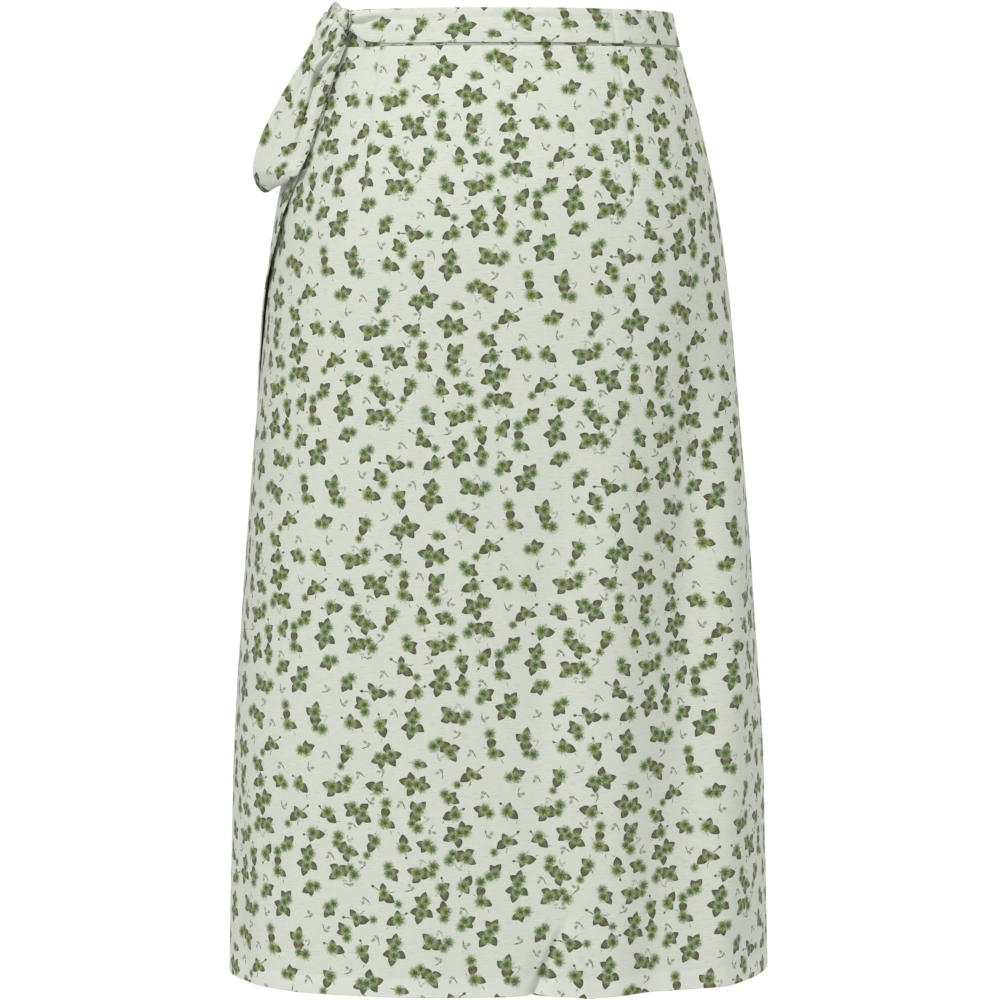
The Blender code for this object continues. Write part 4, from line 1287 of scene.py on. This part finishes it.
def spread_columns(start, end, face_size, drop):
    """Even columns between two places at each drop."""
    count = int(0.5 + float(np.max(arc(end, drop, start))) / face_size * COLUMN_CROWD)
    return start[:, None] + (end - start)[:, None] * np.linspace(0.0, 1.0, count + 1)[None, :]


def panel_wall(node, at, drop, out, start, sizes, seams, turn_ups, hem_rise=0.0, dart_shift=None):
    """A panel from the places of its corners.

    start is where the print's own x is 0. seams and turn_ups hold True for the edge
    that the columns start at, and False for the one that they end at.
    """
    lift = out + np.zeros_like(at)
    thickness = np.full(at.shape, sizes.cloth_thickness)
    first = np.abs(arc(at, drop, at[:, :1]))
    last = np.abs(arc(at, drop, at[:, -1:]))
    for at_start, distance in ((True, first), (False, last)):
        if at_start in seams:
            lift = lift - SEAM_DIP * bell(distance, DIP_WIDTH)
            thickness += SEAM_WALL * (distance < SEAM_TURN)
        if at_start in turn_ups:
            thickness += HEM_WALL * (distance < EDGE_TURN)
            lift = lift - EDGE_DENT * bell(distance - EDGE_ROW_IN, DIP_WIDTH)
    end = HEM_DROP - hem_rise
    thickness += HEM_WALL * (drop > end - sizes.hem_depth)
    lift = lift - HEM_DENT * bell(drop - end + sizes.hem_depth, DIP_WIDTH)
    lift = lift - WAIST_DIP * bell(drop - PANEL_TOP, WAIST_DIP_WIDTH)
    points = cloth(at, drop, lift)
    u = -arc(at, drop, start) * 1000
    if dart_shift is not None:
        u = u + dart_shift
    x, y = CUT_FROM[node]
    uv = np.stack(np.broadcast_arrays(u + x, drop * 1000 + y), -1)
    piece = cloth_wall(node + "_crepe", points, uv, thickness, cloth_materials(sizes))
    ride_in_place(piece, node)
    return piece


def hem_row(start, end, out, sizes, hem_rise=0.0):
    """The row that holds the turned-up hem, on the inner face."""
    at = np.linspace(start, end, ROW_POINTS)
    behind = out(at) - sizes.cloth_thickness - HEM_WALL
    return cloth(at, HEM_DROP - hem_rise - sizes.hem_depth + HEM_ROW_IN, behind)


def edge_row(edge, side, out, hem_rise):
    """The row along a free edge's turn-up, on the outer face; side is which way the panel lies."""
    drop = np.linspace(PANEL_TOP + 0.001, HEM_DROP - hem_rise - 0.001, ROW_POINTS)
    at = edge(drop) + side * EDGE_ROW_IN / quarter_length(edge(drop) + side * 0.02, drop)
    return cloth(at, drop, out(at, drop) - STITCH_SINK)


def plain_layer(at, drop=None):
    """No distance out, for the panels that lie on the form itself."""
    return 0.0 * at


def edge_flare(drop, distance):
    """How far the over panel stands out at a distance from its free edge."""
    window = smooth((drop - FLARE_START) / FLARE_RISE) * bell(drop - FLARE_MIDDLE, FLARE_SPREAD)
    return EDGE_FLARE * window * smooth(1.0 - distance / FLARE_WIDTH)


def make_back_panel(sizes):
    drop = drop_rows(sizes.face_size, sizes.hem_depth)[:, None]
    inset = SIDE_GAP / 2 / quarter_length(0.5, drop[:, 0])
    length = float(quarter_length(0.5, HEM_DROP))
    dart = dart_at(drop)
    count = int(length / sizes.face_size / 2 * COLUMN_CROWD)
    near = np.array(DART_COLUMNS) / length
    part = np.linspace(0.0, 1.0, count + 1)[None, :]
    edge = np.array(SIDE_COLUMNS) / length
    side = inset[:, None] + edge[None, :]
    outer = side[:, -1:] + (dart + near[0] - side[:, -1:]) * part[:, 1:]
    inner = dart + near[-1] + (1.0 - dart - near[-1]) * part[:, 1:]
    half = np.concatenate((side, outer, dart + near[None, 1:], inner), axis=1)
    at = np.concatenate((half, 2.0 - half[:, -2::-1]), axis=1)
    open_share = np.clip(1 - (drop + BAND_HALF) / (DART_END + BAND_HALF), 0.0, 1.0)
    intake = sizes.dart_intake * 1000 * open_share
    shift = intake * ((at < dart) * 1.0 - (at > 2.0 - dart) * 1.0)
    piece = panel_wall("back_panel", at, drop, 0.0, 1.0, sizes, (True, False), (), dart_shift=shift)
    hem = sew("back_hem_stitches", [hem_row(0.01, 1.99, plain_layer, sizes)], sizes)


def make_over_panel(sizes):
    drop = drop_rows(sizes.face_size, sizes.hem_depth)[:, None]
    start = over_edge(drop[:, 0])
    end = 4.0 - SIDE_GAP / 2 / quarter_length(3.5, drop[:, 0])
    at = spread_columns(start, end, sizes.face_size, drop[:, 0])
    flare = edge_flare(drop, arc(at, drop, at[:, :1]))
    piece = panel_wall("over_panel", at, drop, over_layer(at) + flare, 3.0, sizes, (False,), (True,))
    low = float(over_edge(np.array([HEM_DROP]))[0])

    def flared(at, drop):
        return over_layer(at) + edge_flare(drop, EDGE_ROW_IN)

    rows = [hem_row(low + 0.02, 3.99, over_layer, sizes), edge_row(over_edge, 1.0, flared, 0.0)]
    stitches = sew("over_panel_stitches", rows, sizes)


def make_under_panel(sizes):
    drop = drop_rows(UNDER_FACE_SIZE, sizes.hem_depth, UNDER_HEM_RISE)[:, None]
    start = 2.0 + SIDE_GAP / 2 / quarter_length(2.5, drop[:, 0])
    end = np.full_like(start, UNDER_EDGE)
    at = spread_columns(start, end, UNDER_FACE_SIZE, drop[:, 0])
    piece = panel_wall("under_panel", at, drop, 0.0, 3.0, sizes, (True,), (False,), UNDER_HEM_RISE)

    def edge(drop):
        return np.full_like(drop, UNDER_EDGE)

    rows = [hem_row(2.01, UNDER_EDGE - 0.01, plain_layer, sizes, UNDER_HEM_RISE),
            edge_row(edge, -1.0, plain_layer, UNDER_HEM_RISE)]
    stitches = sew("under_panel_stitches", rows, sizes)


# ---- waistband and tie -----------------------------------------------------------------
BAND_STEP = 0.0030         # length of a waistband's faces
BAND_BUCKLE = 0.00010      # its slight unevenness
EDGE_ROUND = 0.0005        # how near its edges the over waistband gets thinner
SLOT_CELLS = 4             # faces along the slot's length
BEFORE_SLOT, PAST_SLOT = 110, 14     # columns on either side of it


def make_band(node, start, end, sizes):
    """A plain stretch of waistband between two places."""
    length = float(arc(end, 0.0, start))
    at = np.linspace(start, end, int(length / BAND_STEP))[None, :]
    across = edge_share(15)[:, None]
    drop = -BAND_HALF + 2 * BAND_HALF * across
    at, drop = np.broadcast_arrays(at, drop)
    buckle = BAND_BUCKLE * np.sin(at * 31.0 + 60 * drop) * np.sin(pi * across)
    middle = cloth(at, drop, buckle - BAND_INSET - BAND_WALL / 2)
    piece = folded_strip(node, middle, BAND_WALL, sizes)


def make_over_band(sizes):
    """The over panel's waistband, with the slot that the tie comes out of."""
    seam = SIDE_GAP / 2 / float(quarter_length(0.5, 0.0))
    start, end = float(over_edge(np.array([0.0]))[0]), 4.0 - seam
    length = float(arc(end, 0.0, start))
    slot_half = SLOT_HALF / float(quarter_length(SLOT_AT, 0.0))
    before = np.linspace(start, SLOT_AT - slot_half, BEFORE_SLOT)
    within = np.linspace(SLOT_AT - slot_half, SLOT_AT + slot_half, SLOT_CELLS + 1)
    beyond = np.linspace(SLOT_AT + slot_half, end, PAST_SLOT)
    at = np.concatenate((before, within[1:], beyond[1:]))[None, :]
    slot_rows = SLOT_TALL / 2
    margin = np.linspace(slot_rows, BAND_HALF, 6)
    opening = np.linspace(-slot_rows, slot_rows, 9)
    drop = np.concatenate((-margin[::-1], opening[1:-1], margin))[:, None]
    at, drop = np.broadcast_arrays(at, drop)
    edge = BAND_HALF - np.abs(drop)
    thin = bell(edge, EDGE_ROUND)
    points = cloth(at, drop, over_layer(at) - BAND_INSET - 0.00035 * thin)
    x, y = CUT_FROM["waistband_over"]
    uv = np.stack((-arc(at, drop, start) * 1000 + x, drop * 1000 + y), -1)
    first, top = len(before) - 1, len(margin) - 1
    hole = (first, first + SLOT_CELLS, top, top + len(opening) - 1)
    wall = BAND_WALL - 0.0007 * thin
    piece = cloth_wall("waistband_over_crepe", points, uv, wall, cloth_materials(sizes), hole)
    ride_in_place(piece, "waistband_over")
    reach = slot_half + SLOT_ROW_OUT / float(quarter_length(SLOT_AT, 0.0))
    tall = slot_rows + SLOT_ROW_OUT
    corners = ((-reach, -tall), (reach, -tall), (reach, tall), (-reach, tall), (-reach, -tall))
    ring = [np.linspace(a, b, 12)[:-1] for a, b in zip(corners, corners[1:])]
    ring = np.concatenate(ring + [np.array([corners[-1]])])
    end_drop = np.linspace(0.0015 - BAND_HALF, BAND_HALF - 0.0015, 20)
    end_at = np.full(20, start + SLOT_ROW_OUT / float(quarter_length(1.5, 0.0)))
    places = ((SLOT_AT + ring[:, 0], ring[:, 1]), (end_at, end_drop))
    rows = [cloth(at, drop, over_layer(at) - BAND_INSET + 0.00002) for at, drop in places]
    stitches = sew("over_band_stitches", rows, sizes)


def tie_middle(rows, columns):
    """Middle surface of the tie, from the slot round the back to the knot."""
    at = np.linspace(TIE_RUN[0].at, TIE_RUN[-1].at, columns)[None, :]
    across = edge_share(rows)[:, None]
    top, foot, crown, out = (curve(TIE_RUN, "at", column, at)
                             for column in ("top", "foot", "crown", "out"))
    height = top + (foot - top) * across
    roll = crown * np.interp(across, RUN_ROWS, RUN_ROLL)
    line = curve(TIE_FOLD, "at", "across", at)
    depth = curve(TIE_FOLD, "at", "depth", at)
    fold = depth * bell(across - line, 0.055)
    lip = 0.4 * depth * bell(across - line + 0.16, 0.09)
    pinch = TIE_PINCH * bell(at - TIE_PINCH_AT, TIE_PINCH_WIDTH) * bell(across - 0.60, 0.13)
    at, height = np.broadcast_arrays(at, height)
    return cloth(at, -height, out + roll + lip - fold - pinch)


def make_tie_run(sizes):
    """The tie, with the long soft crease that runs along it."""
    rows, columns = 33, 300
    middle = clear_of_knot(tie_middle(rows, 900), columns)
    across = edge_share(rows)[:, None]
    along = np.linspace(0.0, 1.0, columns)[None, :]
    calm = smooth((along - 0.10) / 0.10) * smooth((0.99 - along) / 0.04)
    wander = 0.30 + 0.03 * np.sin(along * 17.0)
    dent = TIE_DENT * calm * bell(across - wander, 0.095) * (0.75 + 0.25 * np.sin(along * 23.0))
    piece = folded_strip("tie_back_run", middle, WALL, sizes, dent, "tie_over_back_crepe")


def knot_frame():
    """The knot's centre, and its directions along the waist, outwards and up."""
    centre = cloth(KNOT_AT, KNOT_DROP, KNOT_OUT)
    out = outward(KNOT_AT, KNOT_DROP)
    out = unit(np.array((out[0], out[1], 0.0)))
    return centre, np.array(((-out[1], out[0], 0.0), out, (0.0, 0.0, 1.0)))


def clear_of_knot(fine, columns):
    """A ribbon's middle surface, each row trimmed where it comes out of the knot."""
    centre, axes = knot_frame()
    reach = np.array(KNOT_SIZE) + KNOT_CLEAR + WALL / 2
    depth = ((((fine - centre) @ axes.T) / reach) ** 2).sum(-1)
    half = fine.shape[1] // 2
    places = np.arange(fine.shape[1], dtype=float)
    result = np.empty((fine.shape[0], columns, 3))
    for row, line in enumerate(fine):
        within = depth[row] < 1.0
        first = np.flatnonzero(within[:half])
        last = np.flatnonzero(within[half:])
        start = first[-1] + 1.0 if len(first) else 0.0
        end = half + last[0] - 1.0 if len(last) else places[-1]
        here = np.linspace(start, end, columns)
        result[row] = np.stack([np.interp(here, places, line[:, axis]) for axis in range(3)], -1)
    return result


def make_knot(sizes):
    """The knot: cloth drawn tight round itself, with shallow wraps."""
    turns, rings = 64, 41
    angle, tilt = np.meshgrid(np.linspace(0.0, 2 * pi, turns + 1), np.linspace(0.0, pi, rings))
    x, y, z = np.cos(angle) * np.sin(tilt), np.sin(angle) * np.sin(tilt), np.cos(tilt)
    centre, axes = knot_frame()
    wrap = (z * 1.9 - 0.75 * x + 1.2) % 1.0 - 0.5
    wraps = 1.0 - 0.10 * bell(np.abs(np.abs(wrap) - 0.5), 0.13) * np.sin(tilt)
    pinch = (1.0 - 0.16 * z * z) * wraps
    size = np.stack((KNOT_SIZE.x * pinch, KNOT_SIZE.y * pinch, KNOT_SIZE.z * wraps), -1)
    points = centre + (np.stack((x, y, z), -1) * size) @ axes
    body = points[1:-1, :turns].reshape(-1, 3)
    number = np.arange((rings - 2) * turns).reshape(rings - 2, turns)
    following = np.roll(number, -1, axis=1)
    quads = np.stack((number[:-1], following[:-1], following[1:], number[1:]), -1).reshape(-1, 4)
    top, foot = len(body), len(body) + 1
    caps = [(top, int(b), int(a)) for a, b in zip(number[0], following[0])]
    caps += [(foot, int(a), int(b)) for a, b in zip(number[-1], following[-1])]
    quad_uv = corner_uv(np.arange(turns + 1) * 0.6, np.arange(rings - 2) * 0.6, CUT_FROM["knot"])
    points = np.concatenate((body, points[0, :1], points[-1, :1]))
    piece = build_mesh("knot_crepe", points, quads, quad_uv,
                       print_layers(quad_uv.mean(axis=1), 1.2), cloth_materials(sizes), caps=caps)
    piece.data.shade_smooth()
    ride_in_place(piece, "knot")


def hanging_middle(rows, columns):
    """Middle surface of the hanging loop: down in front, round, and up behind."""
    last = len(HANGING_LOOP) - 1
    stations = in_order(HANGING_LOOP)

    def edges(s):
        return [np.stack([curve(stations, "s", side + axis, s) for axis in "xyz"], -1)
                for side in ("left_", "right_")]

    s = np.linspace(0.0, last, columns)
    left, right = edges(s)
    ahead, behind = edges(np.minimum(s + 0.2, last)), edges(np.maximum(s - 0.2, 0.0))
    path = ahead[0] + ahead[1] - behind[0] - behind[1]
    face = unit(np.cross(left - right, path))
    across = edge_share(rows)[:, None]
    valley = curve(stations, "s", "crease", s)[None, :] * bell(across - VALLEY_AT, VALLEY_WIDTH)
    front = (smooth((s - 0.4) / 0.8) * smooth((8.0 - s) / 2.0))[None, :]
    wander = 0.30 + 0.06 * np.sin(s * 0.9)[None, :]
    second = LOOP_SECOND * front * bell(across - wander, 0.06)
    roll = LOOP_ROLL * front * (bell(across, 0.10) + 0.7 * bell(across - 0.92, 0.09))
    lie, deep, spread, curl = (curve(LOOP_PLEAT, "s", field, s)[None, :]
                               for field in ("across", "depth", "spread", "curl"))
    beside = (across - lie) / spread
    fold = deep * (np.exp(-(beside**4)) - LIP_SHARE * bell(np.abs(beside) - 1.7, 0.7))
    tip = TIP_SHARE * np.maximum(curl, 0.0) * smooth((across - TIP_FROM) / TIP_SPAN)
    curl = curl * smooth((across - CURL_FROM) / CURL_SPAN) + tip
    near_knot = (smooth((s - 0.15) / 0.3) * smooth((1.75 - s) / 0.8))[None, :]
    step = LOOP_STEP * near_knot * smooth((0.28 - across) / 0.07)
    gathers = LOOP_GATHERS * near_knot * np.sin(across * 21.0 + 0.8)
    crest = LOOP_CREST * bell(s - LOOP_CREST_AT, 0.22)[None, :] * np.sin(pi * across)
    depth = VALLEY_SHARE * valley + second + fold + curl + step + gathers - crest - roll
    points = left[None] * (1 - across[..., None]) + right[None] * across[..., None]
    return points - face[None] * depth[..., None]


def carrier(at, drop):
    """Outer face of the over panel, or of its waistband above the seam."""
    return over_layer(at) - BAND_INSET * (1.0 - smooth((drop - CARRIER_STEP_AT) / CARRIER_STEP_RUN))


def lying_middle(table, rows, columns, buckle):
    """Middle surface of a ribbon that lies along the skirt."""
    stations = in_order(table)
    s = np.linspace(0.0, len(table) - 1, columns)[None, :]
    at, drop, out, width, lean = (curve(stations, "s", field, s) for field in Lie._fields)
    share = edge_share(rows)[:, None]
    across = (0.5 - share) * width
    here = at + across * np.sin(np.radians(lean)) / quarter_length(at, drop)
    low = drop - across * np.cos(np.radians(lean))
    wave = buckle * np.sin(s * 2.3 + 4 * share) * np.sin(pi * share)
    wave = wave + 0.0005 * smooth((2.2 - s) / 1.5) * np.sin(19.0 * share + 1.0) * (buckle > 0)
    return cloth(here, low, carrier(here, low) + out + wave)


def short_tail():
    end = LONG_TAIL[-1].drop - TAIL_SHORTER
    rows = []
    for lie in LONG_TAIL:
        share = float(smooth(lie.drop / 0.05))
        rows.append(lie._replace(at=lie.at + TAIL_SHIFT * share, out=lie.out + TAIL_STEP,
                                 drop=min(lie.drop, end)))
    return tuple(rows[:-1])


def make_strip(name, fine, columns, sizes, node):
    """A ribbon of the bow, from its fine middle surface."""
    middle = clear_of_knot(fine, columns)
    piece = folded_strip(node, middle, WALL * STRIP_WALL, sizes, name=name)


# ---- stage -----------------------------------------------------------------------------
CAMERA_AIM_Z = -0.350
CAMERA_DISTANCE = 2.85
FOCAL_PIXELS = 3790.0
FRAME_PIXELS = 1000.0
FRAME_MIDDLE_PIXEL = 498.5
SENSOR = 36.0
FLOOR_Z = -1.05
FLOOR_RADIUS = 1.4
AMBIENT_LOW = 0.24
AMBIENT_HIGH = 0.47
BACKDROP = 1.02
CAMERA_RISE_PIXELS = 300.0           # how far above the aim the camera looks from
FLOOR_SIDES = 64


def make_camera():
    data = bpy.data.cameras.new("camera")
    data.sensor_width = SENSOR
    data.lens = FOCAL_PIXELS / FRAME_PIXELS * SENSOR
    data.clip_end = 100.0
    camera = bpy.data.objects.new("camera", data)
    bpy.context.scene.collection.objects.link(camera)
    pitch = atan(CAMERA_RISE_PIXELS / FOCAL_PIXELS)
    side = (0.5 * FRAME_PIXELS - FRAME_MIDDLE_PIXEL) * CAMERA_DISTANCE / FOCAL_PIXELS
    camera.location = (side, -CAMERA_DISTANCE * cos(pitch),
                       CAMERA_AIM_Z + CAMERA_DISTANCE * sin(pitch))
    camera.rotation_euler = (pi / 2 - pitch, 0.0, 0.0)
    bpy.context.scene.camera = camera


def make_light(name, place, aim, size, watts):
    data = bpy.data.lights.new(name, "AREA")
    data.shape = "DISK"
    data.size = size
    data.energy = watts
    light = bpy.data.objects.new(name, data)
    bpy.context.scene.collection.objects.link(light)
    light.location = place
    light.rotation_euler = (Vector(aim) - Vector(place)).to_track_quat("-Z", "Y").to_euler()


def make_floor():
    ring = np.linspace(0.0, 2 * pi, FLOOR_SIDES + 1)[:-1]
    points = [(FLOOR_RADIUS * cos(a), FLOOR_RADIUS * sin(a), FLOOR_Z) for a in ring]
    mesh = bpy.data.meshes.new("floor")
    mesh.from_pydata(points, [], [tuple(range(FLOOR_SIDES))])
    material, wiring, shader = new_material("floor")
    speck = wiring.add("ShaderNodeTexNoise")
    wiring.put(speck.inputs["Vector"], wiring.add("ShaderNodeTexCoord").outputs["Object"])
    speck.inputs["Scale"].default_value = 3.0
    pale = wiring.mix(speck.outputs[0], (0.93, 0.93, 0.92, 1), (0.95, 0.95, 0.95, 1))
    wiring.put(shader.inputs["Base Color"], pale)
    shader.inputs["Roughness"].default_value = 0.9
    mesh.materials.append(material)
    floor = bpy.data.objects.new("floor", mesh)
    bpy.context.scene.collection.objects.link(floor)


def make_world():
    """Soft pale surroundings, brightest behind the skirt."""
    world = bpy.data.worlds.new("studio")
    world.use_nodes = True
    wiring = Wiring(world.node_tree)
    background = world.node_tree.nodes["Background"]
    direction = wiring.add("ShaderNodeTexCoord").outputs["Generated"]
    ahead = wiring.vector("DOT_PRODUCT", direction, (0.0, 1.0, 0.0))
    behind = wiring.soft_step(ahead, 0.80, 0.955)
    up = wiring.soft_step(wiring.split(direction)[2], -0.6, 0.6)
    around = wiring.blend(up, AMBIENT_LOW, AMBIENT_HIGH)
    wiring.put(background.inputs["Strength"], wiring.blend(behind, around, BACKDROP))
    background.inputs["Color"].default_value = (1.0, 1.0, 1.0, 1.0)
    bpy.context.scene.world = world
    bpy.context.scene.view_settings.view_transform = "Standard"


# ---- operators -------------------------------------------------------------------------
class SKIRT_OT_back_panel(bpy.types.Operator):
    """Dresses the back panel, with its darts and hem"""
    bl_idname = "skirt.back_panel"
    bl_label = "Back panel"

    def execute(self, context):
        make_back_panel(sizes_of(context))
        return {"FINISHED"}


class SKIRT_OT_over_panel(bpy.types.Operator):
    """Dresses the over panel, with its free edge"""
    bl_idname = "skirt.over_panel"
    bl_label = "Over panel"

    def execute(self, context):
        make_over_panel(sizes_of(context))
        return {"FINISHED"}


class SKIRT_OT_under_panel(bpy.types.Operator):
    """Dresses the under panel"""
    bl_idname = "skirt.under_panel"
    bl_label = "Under panel"

    def execute(self, context):
        make_under_panel(sizes_of(context))
        return {"FINISHED"}


class SKIRT_OT_waistband(bpy.types.Operator):
    """Dresses the three stretches of waistband"""
    bl_idname = "skirt.waistband"
    bl_label = "Waistband"

    def execute(self, context):
        sizes = sizes_of(context)
        seam = SIDE_GAP / 2 / float(quarter_length(0.5, 0.0))
        make_band("waistband_back", seam, 2.0 - seam, sizes)
        make_band("waistband_under", 2.0 + seam, UNDER_EDGE, sizes)
        make_over_band(sizes)
        return {"FINISHED"}


class SKIRT_OT_tie(bpy.types.Operator):
    """Dresses the tie that crosses the back"""
    bl_idname = "skirt.tie"
    bl_label = "Tie"

    def execute(self, context):
        make_tie_run(sizes_of(context))
        return {"FINISHED"}


class SKIRT_OT_knot(bpy.types.Operator):
    """Ties the knot"""
    bl_idname = "skirt.knot"
    bl_label = "Knot"

    def execute(self, context):
        make_knot(sizes_of(context))
        return {"FINISHED"}


class SKIRT_OT_bow(bpy.types.Operator):
    """Dresses the two loops and two tails of the bow"""
    bl_idname = "skirt.bow"
    bl_label = "Bow"

    def execute(self, context):
        sizes = sizes_of(context)
        make_strip("hanging_loop_crepe", hanging_middle(77, FINE), 210, sizes,
                   "bow_loop_hanging")
        make_strip("side_loop_crepe", lying_middle(SIDE_LOOP, 17, FINE, 0.0002), 130, sizes,
                   "bow_loop_side")
        make_strip("long_tail_crepe", lying_middle(LONG_TAIL, 15, FINE, 0.0), 110, sizes,
                   "tie_tail_long")
        make_strip("short_tail_crepe", lying_middle(short_tail(), 15, FINE, 0.0), 100, sizes,
                   "tie_tail_short")
        return {"FINISHED"}


class SKIRT_OT_stage(bpy.types.Operator):
    """Sets the floor, the lights and the camera"""
    bl_idname = "skirt.stage"
    bl_label = "Stage"

    def execute(self, context):
        make_camera()
        make_world()
        make_floor()
        make_light("key", (-2.1, -2.3, 1.1), (0.0, 0.0, -0.35), 0.9, 40.0)
        make_light("top", (0.3, -1.4, 1.7), (0.0, -0.1, -0.1), 0.9, 19.0)
        make_light("fill", (2.5, -0.7, 0.1), (0.0, 0.0, -0.4), 1.4, 9.0)
        make_light("behind", (0.8, 2.8, 1.4), (0.0, 0.0, -0.3), 2.0, 22.0)
        return {"FINISHED"}


class SKIRT_PT_panel(bpy.types.Panel):
    """Lists the skirt's operators and sizes"""
    bl_label = "Wrap skirt"
    bl_idname = "SKIRT_PT_panel"
    bl_space_type = "VIEW_3D"
    bl_region_type = "UI"
    bl_category = "Wrap skirt"

    def draw(self, context):
        layout = self.layout
        sizes = sizes_of(context)
        for key in SkirtSizes.__annotations__:
            layout.prop(sizes, key)
        for operator in OPERATORS:
            layout.operator(operator.bl_idname)


OPERATORS = (
    SKIRT_OT_back_panel,
    SKIRT_OT_over_panel,
    SKIRT_OT_under_panel,
    SKIRT_OT_waistband,
    SKIRT_OT_tie,
    SKIRT_OT_knot,
    SKIRT_OT_bow,
    SKIRT_OT_stage,
)


def register():
    bpy.utils.register_class(SkirtSizes)
    for operator in OPERATORS:
        bpy.utils.register_class(operator)
    bpy.utils.register_class(SKIRT_PT_panel)
    bpy.types.Scene.skirt_sizes = bpy.props.PointerProperty(type=SkirtSizes)


def unregister():
    del bpy.types.Scene.skirt_sizes
    bpy.utils.unregister_class(SKIRT_PT_panel)
    for operator in reversed(OPERATORS):
        bpy.utils.unregister_class(operator)
    bpy.utils.unregister_class(SkirtSizes)


def main():
    register()
    bpy.ops.skirt.stage()
    bpy.ops.skirt.back_panel()
    bpy.ops.skirt.over_panel()
    bpy.ops.skirt.under_panel()
    bpy.ops.skirt.waistband()
    bpy.ops.skirt.tie()
    bpy.ops.skirt.knot()
    bpy.ops.skirt.bow()


if __name__ == "__main__":
    main()
